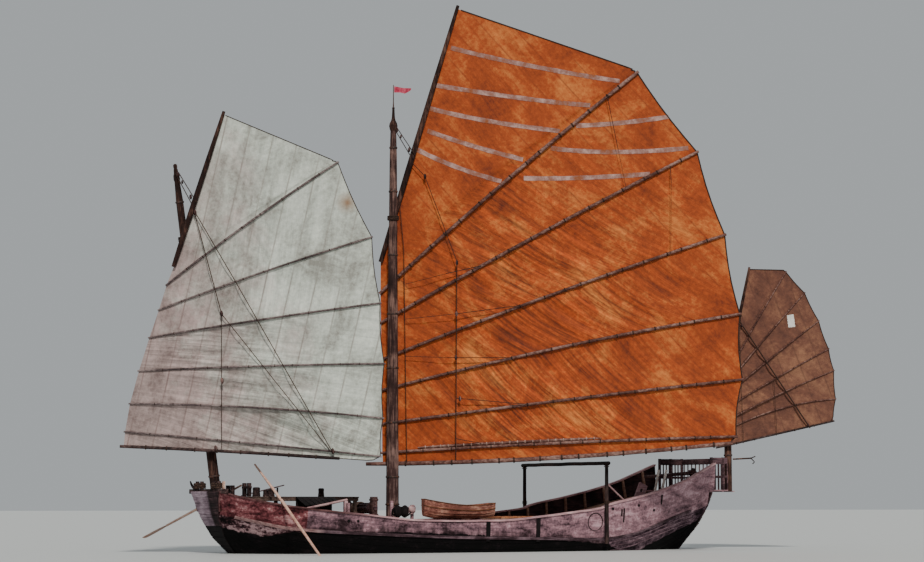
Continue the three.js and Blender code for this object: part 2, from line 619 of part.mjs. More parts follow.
add("hull_body", cut(hullBody(), mastGeometry(MAIN_MAST, GAP), mastGeometry(FORE_MAST, GAP),
  ...foredeck.pockets, ...bitts.pockets, ...coaming.pockets, ...boatChocks.pockets), MATERIAL.hull);
add("keel_timber", endPlanks(endRows(STATIONS.slice(3, -4)).map(([x, z]) => [x, z, 140]), -1, 220), MATERIAL.hull);
for (const [name, side] of [["port", 1], ["starboard", -1]]) {
  const pin = SWEEPS[`sweep_${name}`].pin;
  add(`bulwark_${name}`, union(bulwark(side), sweepPin(pin)), MATERIAL.topside);
  add(`wale_${name}`, wale(side), MATERIAL.rail);
}
add("bow_planks", endPlanks([...endRows(STATIONS.slice(0, 3)).reverse(), [11450, 2400, 1290]]
  .map(([x, z, half]) => [x, z, half]), 1), MATERIAL.topside);
add("bow_beam", box(BOW_BEAM.x, [-BOW_BEAM.half, BOW_BEAM.half],
  [bowBeamLow, bowBeamLow + BOW_BEAM.height]), MATERIAL.spar);
add("stern_planks", sternPlanks(), MATERIAL.topside);
add("gallery_floor", galleryFloor(), MATERIAL.deck);
add("gallery_rail", galleryRail(), MATERIAL.rail);
add("fore_platform", foredeck.geometry, MATERIAL.deck);
add("windlass_bitts", bitts.geometry, MATERIAL.spar);
add("windlass_barrel", windlassBarrel(), MATERIAL.spar);
add("hatch_coaming", coaming.geometry, MATERIAL.deck);
add("hatch_boards", box(HATCH.x, [-HATCH.half, HATCH.half],
  [HATCH.top - HATCH.cover + GAP, HATCH.top]), MATERIAL.deck);
add("boat_chocks", boatChocks.geometry, MATERIAL.deck);
add("ship_boat", shipBoat(), MATERIAL.boat);
add("gallows", gallows(), MATERIAL.spar);
add("rudder", rudder(), MATERIAL.hull);
add("tiller", tiller(), MATERIAL.spar);
for (const [name, place] of Object.entries(SWEEPS)) add(name, sweep(place), MATERIAL.oar);
add("main_mast", mastGeometry(MAIN_MAST), MATERIAL.spar);
add("fore_mast", mastGeometry(FORE_MAST), MATERIAL.spar);
add("mizzen_mast", mastGeometry(MIZZEN_MAST), MATERIAL.spar);

const FLAGSTAFF = { low: 17100, high: 19000, radius: 28 };
add("flagstaff", spar([V(3240, 0, FLAGSTAFF.low + GAP), V(3240, 0, FLAGSTAFF.high)],
  [FLAGSTAFF.radius, FLAGSTAFF.radius], 8), MATERIAL.spar);
add("pennant", box([3240 - FLAGSTAFF.radius - 780, 3240 - FLAGSTAFF.radius - GAP], [-6, 6], [18680, 18960]), MATERIAL.flag);

for (const [name, sail] of Object.entries(SAILS)) makeSail(name, sail);

export default ship;
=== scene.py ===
# %% [markdown]
# A junk under full sail. The ship floats, so its waterline is the level z = 0. Its solids and
# joints come ready made, and this script dresses them: planks, cloth, poles and ropes are
# made here in the same place and the same metres, so nothing needs fitting.

# %% Load the solids
import math

import bpy
from mathutils import Matrix, Vector, noise
from mathutils.bvhtree import BVHTree


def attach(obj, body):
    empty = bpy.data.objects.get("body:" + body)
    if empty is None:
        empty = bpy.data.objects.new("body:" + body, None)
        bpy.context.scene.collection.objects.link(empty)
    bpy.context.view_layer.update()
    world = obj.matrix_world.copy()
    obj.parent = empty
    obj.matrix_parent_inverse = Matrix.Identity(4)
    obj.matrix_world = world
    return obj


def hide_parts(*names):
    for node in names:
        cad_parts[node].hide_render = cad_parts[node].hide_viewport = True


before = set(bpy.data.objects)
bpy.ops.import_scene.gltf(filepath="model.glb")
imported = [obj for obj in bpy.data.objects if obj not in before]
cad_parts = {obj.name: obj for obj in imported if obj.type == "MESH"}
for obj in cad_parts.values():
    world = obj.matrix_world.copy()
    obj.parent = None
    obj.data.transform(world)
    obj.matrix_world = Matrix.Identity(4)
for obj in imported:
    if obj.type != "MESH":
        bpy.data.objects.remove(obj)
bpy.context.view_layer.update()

noise.seed_set(1)               # the wear on the timbers comes out the same in every run
SHIP = "ship"
SIDES = (-1, 1)                 # starboard, port
print("solids loaded:", len(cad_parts))

# %% [markdown]
# The photograph was taken from low down off the port bow, thirty degrees forward of square
# on, with a long lens tilted slightly up. The same numbers place the camera here.

# %% Camera
CAMERA_AT = (50.0, 86.603, 1.9)
LENS_MM, SENSOR_MM = 94.7, 36.0
TILT_UP = math.radians(5.25)
LOOKS_TOWARDS = math.radians(150)

bpy.ops.object.camera_add(location=CAMERA_AT, rotation=(math.pi / 2 + TILT_UP, 0, LOOKS_TOWARDS))
camera = bpy.context.object
camera.data.lens, camera.data.sensor_width = LENS_MM, SENSOR_MM
camera.data.clip_end = 2000
bpy.context.scene.camera = camera

# %% [markdown]
# Every finish here is drawn by shader nodes. Colours are given as they look on a screen, and
# one function turns them into the linear numbers that light works with. Another adds a node
# with its settings and links, which keeps each recipe close to a list of what it mixes.

# %% Helpers for finishes
def linear(hexa):
    """A screen colour as linear numbers with an alpha of 1."""
    parts = [int(hexa[i:i + 2], 16) / 255 for i in (0, 2, 4)]
    return [c / 12.92 if c <= 0.04045 else ((c + 0.055) / 1.055) ** 2.4 for c in parts] + [1.0]


def node(tree, kind, inputs=(), stops=(), **settings):
    """Adds a node. Inputs are values, or the nodes or outputs that feed them, by name or in order."""
    made = tree.nodes.new("ShaderNode" + kind)
    for key, value in settings.items():
        setattr(made, key, value)
    for number, (place, colour) in enumerate(stops):
        element = made.color_ramp.elements[number] if number < 2 else made.color_ramp.elements.new(place)
        element.position = place
        element.color = linear(colour) if isinstance(colour, str) else colour
    for key, value in inputs.items() if isinstance(inputs, dict) else enumerate(inputs):
        source = value.outputs[0] if isinstance(value, bpy.types.Node) else value
        if isinstance(source, bpy.types.NodeSocket):
            tree.links.new(source, made.inputs[key])
        else:
            made.inputs[key].default_value = source
    return made


def new_material(name, roughness=0.8, **sockets):
    """A material with its shader, ready for a pattern."""
    made = bpy.data.materials.new(name)
    made.use_nodes = True
    shader = made.node_tree.nodes["Principled BSDF"]
    shader.inputs["Roughness"].default_value = roughness
    for key, value in sockets.items():
        shader.inputs[key.replace("_", " ")].default_value = value
    return made, made.node_tree, shader


def finish(tree, shader, colour, height=None, strength=0.5, distance=0.02):
    """Ends a recipe: its colour, and the relief that a height gives it."""
    tree.links.new(colour.outputs[0], shader.inputs["Base Color"])
    if height:
        relief = node(tree, "Bump", {"Height": height, "Strength": strength, "Distance": distance})
        tree.links.new(relief.outputs[0], shader.inputs["Normal"])

# %% [markdown]
# A plain pale floor lies at the waterline. A broad sun through haze and a pale sky give the
# soft light of an overcast day, so the folds of the sails still show.

# %% Floor and light
FLOOR_SIZE = 1200
SUN_FROM = Vector((0.42, 1.05, 0.95))     # towards the sun, on the port side

bpy.ops.mesh.primitive_plane_add(size=FLOOR_SIZE)
floor = bpy.context.object
floor.name = "floor"
floor_paint, _, floor_shader = new_material("studio_floor", 0.55)
floor_shader.inputs["Base Color"].default_value = linear("C9CCCB")
floor.data.materials.append(floor_paint)

world = bpy.data.worlds.new("haze")
world.use_nodes = True
world.node_tree.nodes["Background"].inputs["Color"].default_value = linear("DDE3E6")
world.node_tree.nodes["Background"].inputs["Strength"].default_value = 0.55
bpy.context.scene.world = world

bpy.ops.object.light_add(type="SUN", rotation=SUN_FROM.to_track_quat("Z", "Y").to_euler())
sun = bpy.context.object
sun.data.energy, sun.data.angle = 2.9, math.radians(6)
sun.data.color = linear("FFFAF2")[:3]

# %% [markdown]
# Every piece ends the same way: a name, a finish, the body that it moves with, and the solids
# that it stands for. Nothing may be left selected when a new shape is added, so each helper
# starts by clearing the selection.

# %% Helpers for pieces
def clear_selection():
    if bpy.context.object and bpy.context.object.mode != "OBJECT":
        bpy.ops.object.mode_set(mode="OBJECT")
    bpy.ops.object.select_all(action="DESELECT")


def only(obj):
    clear_selection()
    obj.select_set(True)
    bpy.context.view_layer.objects.active = obj
    return obj


def apply_place(obj):
    only(obj)
    bpy.ops.object.transform_apply(location=True, rotation=True, scale=True)
    return obj


def apply_modifier(obj, kind, **settings):
    """Adds a modifier with its settings and makes its result the mesh."""
    added = only(obj).modifiers.new(kind.lower(), kind)
    for key, value in settings.items():
        setattr(added, key, value)
    bpy.ops.object.modifier_apply(modifier=added.name)
    return obj


def join(objects):
    """Joins pieces of one make into a single mesh."""
    clear_selection()
    for obj in objects:
        obj.select_set(True)
    bpy.context.view_layer.objects.active = objects[0]
    bpy.ops.object.join()
    return bpy.context.object


def refinish(obj, material):
    obj.data.materials.clear()
    obj.data.materials.append(material)


def dress(shape, name, material, body=SHIP, stands_for=(), crease=35):
    """Names a finished piece, or a list of shapes joined to one, and says what it rides on."""
    obj = only(join(shape) if isinstance(shape, list) else shape)
    obj.name = obj.data.name = name
    refinish(obj, material)
    bpy.ops.object.shade_smooth_by_angle(angle=math.radians(crease))
    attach(obj, body)
    if stands_for:
        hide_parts(*stands_for)
    print(name, len(obj.data.polygons), "faces")
    return obj

# %% [markdown]
# What follows the hull's lines, or hangs as cloth, is a surface through rows of points. These
# helpers share out widths, read the tables of measures, and skin such rows with faces.

# %% Rows of points and skins
def mix(a, b, t):
    return a + (b - a) * t


def spread(start, stop, count):
    """Evenly spaced numbers, both ends included."""
    return [mix(start, stop, k / (count - 1)) for k in range(count)]


def read(table, place):
    """The other columns of a table of places, on straight lines between its rows."""
    a, b = next((pair for pair in zip(table, table[1:]) if place <= pair[1][0]), table[-2:])
    return [mix(low, high, (place - a[0]) / (b[0] - a[0])) for low, high in zip(a[1:], b[1:])]


def boards_between(start, stop, count, gap):
    """The two edges of each of the boards that share a width, with a gap around them."""
    return [(mix(start, stop, k / count) + gap, mix(start, stop, (k + 1) / count) - gap) for k in range(count)]


def mesh_from(name, points, faces, uvs=None):
    """A mesh from points and faces, for surfaces that follow the ship's lines."""
    mesh = bpy.data.meshes.new(name)
    mesh.from_pydata([tuple(p) for p in points], [], faces)
    if uvs:
        layer = mesh.uv_layers.new(name="cut")
        for loop in mesh.loops:
            layer.data[loop.index].uv = uvs[loop.vertex_index]
    mesh.validate()
    obj = bpy.data.objects.new(name, mesh)
    bpy.context.collection.objects.link(obj)
    return obj


def grid_faces(rows, columns, wrap=False):
    """Squares between rows of points; where they wrap, each row is a closed ring."""
    return [(r * columns + c, r * columns + (c + 1) % columns, (r + 1) * columns + (c + 1) % columns,
             (r + 1) * columns + c) for r in range(rows - 1) for c in range(columns if wrap else columns - 1)]


def face_outwards(obj, merge=0.0002):
    """Closes the seams of a mesh and turns its faces out."""
    only(obj)
    bpy.ops.object.mode_set(mode="EDIT")
    bpy.ops.mesh.select_all(action="SELECT")
    bpy.ops.mesh.remove_doubles(threshold=merge)
    bpy.ops.mesh.normals_make_consistent(inside=False)
    bpy.ops.object.mode_set(mode="OBJECT")
    return obj


def ring_loft(rings, uv_of=None):
    """A closed skin through rings of points, with flat ends."""
    count = len(rings[0])
    points = [p for ring in rings for p in ring]
    ends = [tuple(range(count))[::-1], tuple((len(rings) - 1) * count + j for j in range(count))]
    uvs = [uv_of(Vector(p)) for p in points] if uv_of else None
    return face_outwards(mesh_from("loft", points, grid_faces(len(rings), count, True) + ends, uvs), 0.00002)

# %% [markdown]
# Poles and ropes are tubes along a line, sawn timbers are boxes with their edges worn round,
# and hoops and turns of rope are rings. What repeats is made once and copied to its places.

# %% Tubes, timbers and rings
def tube(points, radius, resolution=2, widths=None):
    """A round pole or rope along points; widths are shares of the radius."""
    clear_selection()
    bpy.ops.curve.primitive_bezier_curve_add()
    obj = bpy.context.object
    curve = obj.data
    curve.splines.clear()
    spline = curve.splines.new("POLY")
    spline.points.add(len(points) - 1)
    for i, (point, place) in enumerate(zip(spline.points, points)):
        point.co = (*place, 1)
        point.radius = widths[i] if widths else 1.0
    curve.dimensions, curve.use_fill_caps = "3D", True
    curve.bevel_depth, curve.bevel_resolution = radius, resolution
    bpy.ops.object.convert(target="MESH")
    return face_outwards(bpy.context.object)


def timber(low, high, bevel=0.012, wear=0.0, seed=0):
    """A sawn timber between two corners, with its edges worn round."""
    clear_selection()
    bpy.ops.mesh.primitive_cube_add(size=1, location=[(a + b) / 2 for a, b in zip(low, high)])
    obj = bpy.context.object
    obj.scale = [abs(b - a) for a, b in zip(low, high)]
    apply_modifier(apply_place(obj), "BEVEL", width=bevel, segments=2)
    if wear:
        for v in obj.data.vertices:
            v.co += wear * noise.noise_vector(v.co * 1.7 + Vector((seed, 0, 0)))
    return obj


def upright(x, y, half, low, high, *worn):
    """A standing timber about x and y; half is half its thickness along and across the ship."""
    return timber((x - half[0], y - half[1], low), (x + half[0], y + half[1], high), *worn)


def ring(major, minor, place, segments=(20, 6)):
    """A ring of round section, put in place by a matrix."""
    clear_selection()
    bpy.ops.mesh.primitive_torus_add(major_radius=major, minor_radius=minor, major_segments=segments[0],
                                     minor_segments=segments[1])
    made = bpy.context.object
    made.data.transform(place)
    return made


def copies(source, matrices):
    """One shape repeated at many places."""
    points, faces = [], []
    for matrix in matrices:
        start = len(points)
        points += [matrix @ v.co for v in source.data.vertices]
        faces += [[start + i for i in p.vertices] for p in source.data.polygons]
    bpy.data.objects.remove(source)
    return mesh_from("copies", points, faces)


def shift(*offset):
    return Matrix.Translation(offset[0] if len(offset) == 1 else offset)


def axis_frame(at, along, size=1.0):
    """A matrix that stands a shape's z along a direction, at a place."""
    return shift(at) @ Vector(along).to_track_quat("Z", "Y").to_matrix().to_4x4() @ Matrix.Scale(size, 4)

# %% [markdown]
# A wooden ship that works for its living is never one colour. The wood is sawn pine and
# hardwood, oiled or painted, then bleached by sun and salt: long grain, darker knots and
# pale worn places. One recipe draws it, with the grain turned along each piece.

# %% Wood
GRAIN_STRETCH = 14        # grain runs this many times longer than it is wide
GRAIN_MM = 22             # real grain is finer; this is as fine as the picture shows
SHADES_AT = (0.36, 0.49, 0.62)


def wood(name, *shades, along="X", roughness=0.72, bump=0.35, patches=0.9, zone=None):
    """Wood in a dark, a middle and a light shade. A zone (axis, start, end, shades) differs before start."""
    made, tree, shader = new_material(name, roughness, Specular_IOR_Level=0.2)
    place = node(tree, "TexCoord").outputs["Object"]
    scale = [1000 / GRAIN_MM / (GRAIN_STRETCH if axis == along else 1) for axis in "XYZ"]
    turned = node(tree, "Mapping", {"Vector": place, "Scale": scale})
    grain = node(tree, "TexNoise", {"Vector": turned, "Scale": 0.35, "Detail": 6, "Roughness": 0.7})
    blotch = node(tree, "TexNoise", {"Vector": place, "Scale": patches, "Detail": 5, "Roughness": 0.65})
    both = node(tree, "Math", [grain, blotch], operation="ADD")
    half = node(tree, "Math", [both, 0.5], operation="MULTIPLY")
    colour = node(tree, "ValToRGB", {"Fac": half}, stops=list(zip(SHADES_AT, shades)))
    if zone:
        axis, start, end, others = zone
        at = node(tree, "SeparateXYZ", [place])
        uneven = node(tree, "Math", [blotch, end - start, at.outputs[axis]], operation="MULTIPLY_ADD")
        share = node(tree, "MapRange", {"Value": uneven, "From Min": start, "From Max": end})
        before = node(tree, "ValToRGB", {"Fac": half}, stops=list(zip(SHADES_AT, others)))
        colour = node(tree, "MixRGB", {"Fac": share, "Color1": before, "Color2": colour})
    finish(tree, shader, colour, grain, bump)
    return made


# tar and oil make spars dark, with a dull gleam on the grain
TARRED_SPAR = wood("tarred_spar_wood", "0C0605", "2B1915", "6B4C40", along="Z", roughness=0.85, patches=0.6)
OILED_SPAR = wood("oiled_spar_wood", "140C0C", "3F2A29", "9A7B74", along="Z", roughness=0.85, patches=0.6)
OILED_BEAM = wood("oiled_beam_wood", "211516", "40292A", "755A55", along="Y")
TARRED_WOOD = wood("tarred_rudder_wood", "0C090A", "241A1B", "4A3836", along="Z")
DAMP_BLACK = wood("damp_black_wood", "030202", "0A0708", "241B1D", along="Z", roughness=0.9)
BOW_TAR = wood("tarred_bow_beam", "0A0707", "2C1E1E", "6E5754", along="Y", roughness=0.9)
# rough poles: brown where new, tarred on the boom, grey where the sun reaches them
POLE_WOOD = wood("batten_pole_wood", "2A1715", "5E3D36", "9A7A70", patches=0.6)
TARRED_POLE = wood("tarred_pole_wood", "0C0707", "2A1D1C", "5C4744", patches=0.6)
GREY_POLE = wood("weathered_pole_wood", "272021", "574949", "8E807D", patches=0.6)
# bare wood, scrubbed by feet or bleached by salt
BLEACHED = wood("bleached_rail_wood", "6A4A4C", "A07E80", "C9ABA8")
DECK_WOOD = wood("worn_deck_pine", "4A332C", "7C5C4E", "A98A78")
BARE_OAR = wood("bare_oar_wood", "9A6E5E", "C79C8A", "E0BFAE", along="Y")
DARK_TIMBER = wood("dark_weathered_timber", "1A1214", "402C30", "7A5C5E")
PINK_BOARD = wood("bleached_pink_board", "5E4248", "957278", "C4A3A6")

# %% [markdown]
# The rope is hemp, laid from three strands and darkened by tar. At this distance only the
# slant of the strands and a little colour change can be seen, so that is what is drawn.
# Iron fittings are rusted: a fine brown and orange mottle over black.

# %% Hemp rope and iron
def hemp(name, dark, light):
    made, tree, shader = new_material(name, 0.9, Specular_IOR_Level=0.15)
    place = node(tree, "TexCoord").outputs["Object"]
    lay = node(tree, "TexWave", {"Vector": place, "Scale": 14.0, "Distortion": 3.0, "Detail": 2.0},
               wave_type="BANDS", bands_direction="DIAGONAL").outputs["Fac"]
    colour = node(tree, "ValToRGB", {"Fac": lay}, stops=[(0.2, dark), (0.8, light)])
    finish(tree, shader, colour, lay, 0.5, 0.01)
    return made


TARRED_ROPE = hemp("tarred_hemp", "1F1614", "4A3830")
PALE_ROPE = hemp("bleached_hemp", "8A6E62", "C4A698")
IRON, iron_tree, iron_shader = new_material("rusted_iron", 0.7)
iron_place = node(iron_tree, "TexCoord").outputs["Object"]
rust = node(iron_tree, "TexNoise", {"Vector": iron_place, "Scale": 14.0, "Detail": 5})
finish(iron_tree, iron_shader,
       node(iron_tree, "ValToRGB", {"Fac": rust}, stops=[(0.35, "15100F"), (0.55, "3A221A"), (0.7, "6B3B24")]))

# %% [markdown]
# Each sail is a lug sail stiffened by poles, the battens, that fan out from the mast. The
# cloth lies on the far side of the poles and bellies a little between them. A sail has a
# frame of its own: x runs aft from the mast, z up the mast and y away from the near side.
# The tables hold, in metres, each spar's radius, its two ends, how far its middle rises and
# how far it sticks out past the cloth.

# %% Sails: measures
SWING = math.radians(30)
GAP = 0.0003                      # between a pole and the cloth
CLOTH_THICK = 0.0084
BELLY, FULL_DEPTH = 0.11, 1.2    # how far a panel fills, and how tall it must be to fill that far
FORE_RAKE = math.atan(0.1475)

SAILS = {
    "main": dict(foot_of_mast=(3.24, 0, 0), rake=0.0, side=0.52, spars=[
        ("boom", 0.08, -1.09, 3.53, 13.8, 4.38, -0.19, 0.0),
        ("batten_6", 0.055, -0.43, 3.98, 13.94, 4.64, 0.07, 0.06),
        ("batten_5", 0.055, -0.44, 5.15, 14.22, 6.96, 0.06, 0.06),
        ("batten_4", 0.055, -0.46, 6.52, 14.14, 9.63, 0.2, 0.06),
        ("batten_3", 0.055, -0.48, 7.76, 13.56, 12.88, 0.13, 0.06),
        ("batten_2", 0.06, -0.5, 9.27, 12.46, 16.3, 0.13, 0.06),
        ("batten_1", 0.065, -0.52, 10.5, 10.02, 19.6, 0.18, 0.06)],
        yard=(0.12, (-0.52, 11.76), (2.64, 22.39)), head_aft=(9.83, 19.76), foot=(-0.4, 13.68)),
    "fore": dict(foot_of_mast=(10.96, 0, 2.1), rake=FORE_RAKE, side=-0.46, spars=[
        ("boom", 0.075, -3.4, 2.52, 4.94, 0.985, 0.03, 0.0),
        ("batten_6", 0.045, -3.14, 3.05, 6.51, 0.86, 0.03, 0.05),
        ("batten_5", 0.045, -2.82, 4.1, 6.79, 2.31, 0.13, 0.05),
        ("batten_4", 0.045, -2.32, 5.31, 7.1, 4.39, 0.05, 0.05),
        ("batten_3", 0.045, -1.76, 6.53, 7.24, 6.73, 0.05, 0.05),
        ("batten_2", 0.045, -1.26, 7.55, 7.24, 9.3, 0.08, 0.05),
        ("batten_1", 0.05, -0.84, 8.47, 6.3, 12.33, 0.12, 0.05)],
        yard=(0.11, (-0.49, 9.12), (2.19, 14.84)), head_aft=(6.13, 12.44), foot=(-3.26, 6.16)),
    "mizzen": dict(foot_of_mast=(-12.18, 1.74, 0), rake=0.0, side=-0.33, spars=[
        ("boom", 0.06, -0.56, 4.3, 4.53, 5.46, 0.0, 0.0),
        ("batten_6", 0.038, -0.43, 4.9, 4.6, 6.4, 0.3, 0.04),
        ("batten_5", 0.038, -0.34, 5.32, 4.54, 7.62, 0.1, 0.04),
        ("batten_4", 0.038, -0.21, 5.93, 4.33, 8.55, 0.06, 0.04),
        ("batten_3", 0.038, -0.08, 6.56, 3.92, 9.75, 0.06, 0.04),
        ("batten_2", 0.038, 0.04, 7.13, 3.33, 10.96, 0.06, 0.04),
        ("batten_1", 0.04, 0.19, 7.85, 2.54, 11.87, 0.06, 0.04)],
        yard=(0.085, (-0.64, 4.56), (0.96, 12.07)), head_aft=(2.46, 11.95), foot=(-0.5, 4.48)),
}


def sail_frame(sail):
    """The sail's own frame as a matrix: columns aft, away from the near side, up the mast."""
    up = Vector((math.sin(sail["rake"]), 0, math.cos(sail["rake"])))
    aft = Vector((-math.cos(SWING), math.sin(SWING), 0))
    aft = (aft - up * aft.dot(up)).normalized()
    return shift(sail["foot_of_mast"]) @ Matrix((aft, up.cross(aft), up)).transposed().to_4x4()


def bowed(fore, aft, rise, share, y=0.0):
    """A point on a spar's bowed line: a share of 0 is the fore end, 1 the aft end."""
    return Vector((mix(fore[0], aft[0], share), y, mix(fore[1], aft[1], share) + 4 * rise * share * (1 - share)))


def sail_rows(sail):
    """The lines across the cloth from foot to head: fore end, aft end and rise."""
    yard_radius, heel, peak = sail["yard"]
    on_yard = lambda z: (mix(heel[0], peak[0], (z - heel[1]) / (peak[1] - heel[1])), z)
    _, _, x0, z0, x1, z1, sag, _ = sail["spars"][0]
    shares = [(x - x0) / (x1 - x0) for x in sail["foot"]]
    ends = [bowed((x0, z0), (x1, z1), sag, share) for share in shares]
    rows = [((ends[0].x, ends[0].z), (ends[1].x, ends[1].z), sag * (shares[1] - shares[0]) ** 2)]
    for _, _, fx, fz, ax, az, rise, _ in sail["spars"][1:]:
        rows.append((on_yard(fz) if fz > heel[1] else (fx, fz), (ax, az), rise))
    (_, top_fore_z), (top_x, top_z), top_rise = rows[-1]
    halfway = ((top_x + sail["head_aft"][0]) / 2, (top_z + sail["head_aft"][1]) / 2)
    rows.append((on_yard(max(heel[1], top_fore_z + 0.25)), halfway, top_rise))
    rows.append((on_yard(peak[1] - yard_radius), sail["head_aft"], 0.0))
    return rows

# %% [markdown]
# Canvas between two poles is pulled hard along the poles and hangs loose across them. It
# makes long slanting creases from the upper pole near the mast to the lower pole further
# aft, with finer creases beside them, and the free edge curves in between the poles. The
# creases are moved into the surface itself, point by point, because a cloth simulation of
# a sail this wide would take longer than the whole picture.

# %% Sails: cloth
COLUMNS, ROWS_A_PANEL = 190, 20
FOLD_LENGTH, FOLD_WIDTH = 7.0, 0.75
SMALL_FOLD_WIDTH, SMALL_FOLD_SHARE = 0.33, 0.45
HEAD_FILL = 0.6                       # the narrow panels at the head fill this much as far


def fold_place(x, down, slant, curl):
    """Where a point lies across and along its panel's folds, which run flatter towards the foot."""
    run = down / math.tan(slant) + curl * down * down
    return (x - run) * math.sin(slant), down / math.sin(slant)


def fold(across, along, width, seed):
    """Folds as cloth under a pull makes them: narrow crests with wide, round hollows between."""
    value = noise.noise(Vector((across / width, along / FOLD_LENGTH, seed)))
    return 0.35 - math.sqrt(value * value + 0.002)


def cloth_grid(sail, folds, seed, hollow):
    """Points of the cloth's face in the sail's frame, row by row, and where each lies in the folds."""
    rows = sail_rows(sail)
    grid, places = [], []
    for i, (low, high) in enumerate(zip(rows, rows[1:])):
        slant, depth, curl, strongest = folds[i]
        tall = (high[0][1] + high[1][1] - low[0][1] - low[1][1]) / 2
        fill = min(HEAD_FILL if i > len(rows) - 4 else 1.0, tall / FULL_DEPTH)
        for k in range(ROWS_A_PANEL + (i == len(rows) - 2)):
            t = k / ROWS_A_PANEL
            fore, aft = ([mix(a, b, t) for a, b in zip(low[end], high[end])] for end in (0, 1))
            loose = math.sin(math.pi * t)
            aft[0] -= hollow * loose * min(1.0, tall / 1.5)
            line, place_line = [], []
            for c in range(COLUMNS + 1):
                s = c / COLUMNS
                p = bowed(fore, aft, mix(low[2], high[2], t), s)
                across, along = fold_place(p.x, bowed(*high, s).z - p.z, math.radians(slant), curl)
                # the folds fade away from where they are strongest, and towards the edges and the poles
                pulled = 0.25 + 0.75 * math.exp(-((s - strongest) / 0.3) ** 2)
                held = min(1.0, 8 * s) * min(1.0, 10 * (1 - s)) * (0.25 + 0.75 * loose ** 0.6) * min(1.0, tall / 0.9)
                lie = (fold(across, along, FOLD_WIDTH, seed + i)
                       + SMALL_FOLD_SHARE * fold(across, along, SMALL_FOLD_WIDTH, seed + i + 40))
                p.y = sail["side"] + fill * BELLY * loose * 4 * s * (1 - s) + held * pulled * depth * lie
                line.append(p)
                place_line.append((across, along, pulled * min(1.0, depth / 0.25)))
            grid.append(line)
            places.append(place_line)
    return grid, places


def cloth_piece(name, sail, grid, places):
    """A closed thin cloth from the grid. It carries its own cut as a map, and its place in the folds."""
    frame_of = sail_frame(sail)
    flat = [p for line in grid for p in line]
    obj = mesh_from(name, [frame_of @ p for p in flat], grid_faces(len(grid), len(grid[0])), [(p.x, p.z) for p in flat])
    creased = obj.data.attributes.new("folds", "FLOAT_VECTOR", "POINT")
    creased.data.foreach_set("vector", [value for line in places for place in line for value in place])
    away = frame_of.to_3x3() @ Vector((0, 1, 0))
    faces_away = sum(p.normal.dot(away) for p in obj.data.polygons) >= 0
    apply_modifier(obj, "SOLIDIFY", thickness=CLOTH_THICK, offset=1.0 if faces_away else -1.0)
    return face_outwards(obj, 0.00005)

# %% [markdown]
# The canvas is hand-sewn cotton, soaked in tanning bark until it is orange or brown, or left
# to bleach. From a distance it shows the seams between its strips, the cloudy unevenness of
# the dye, and streaks where rain has run. Threads are under a millimetre apart, too fine to
# see here, so the weave is drawn as a coarse slub instead.

# %% Sailcloth
SLUB_MM = 45
CREASE_MM = 140          # how far apart the small creases lie
SEAM_SHADOW = 0.045      # metres to each side of a seam


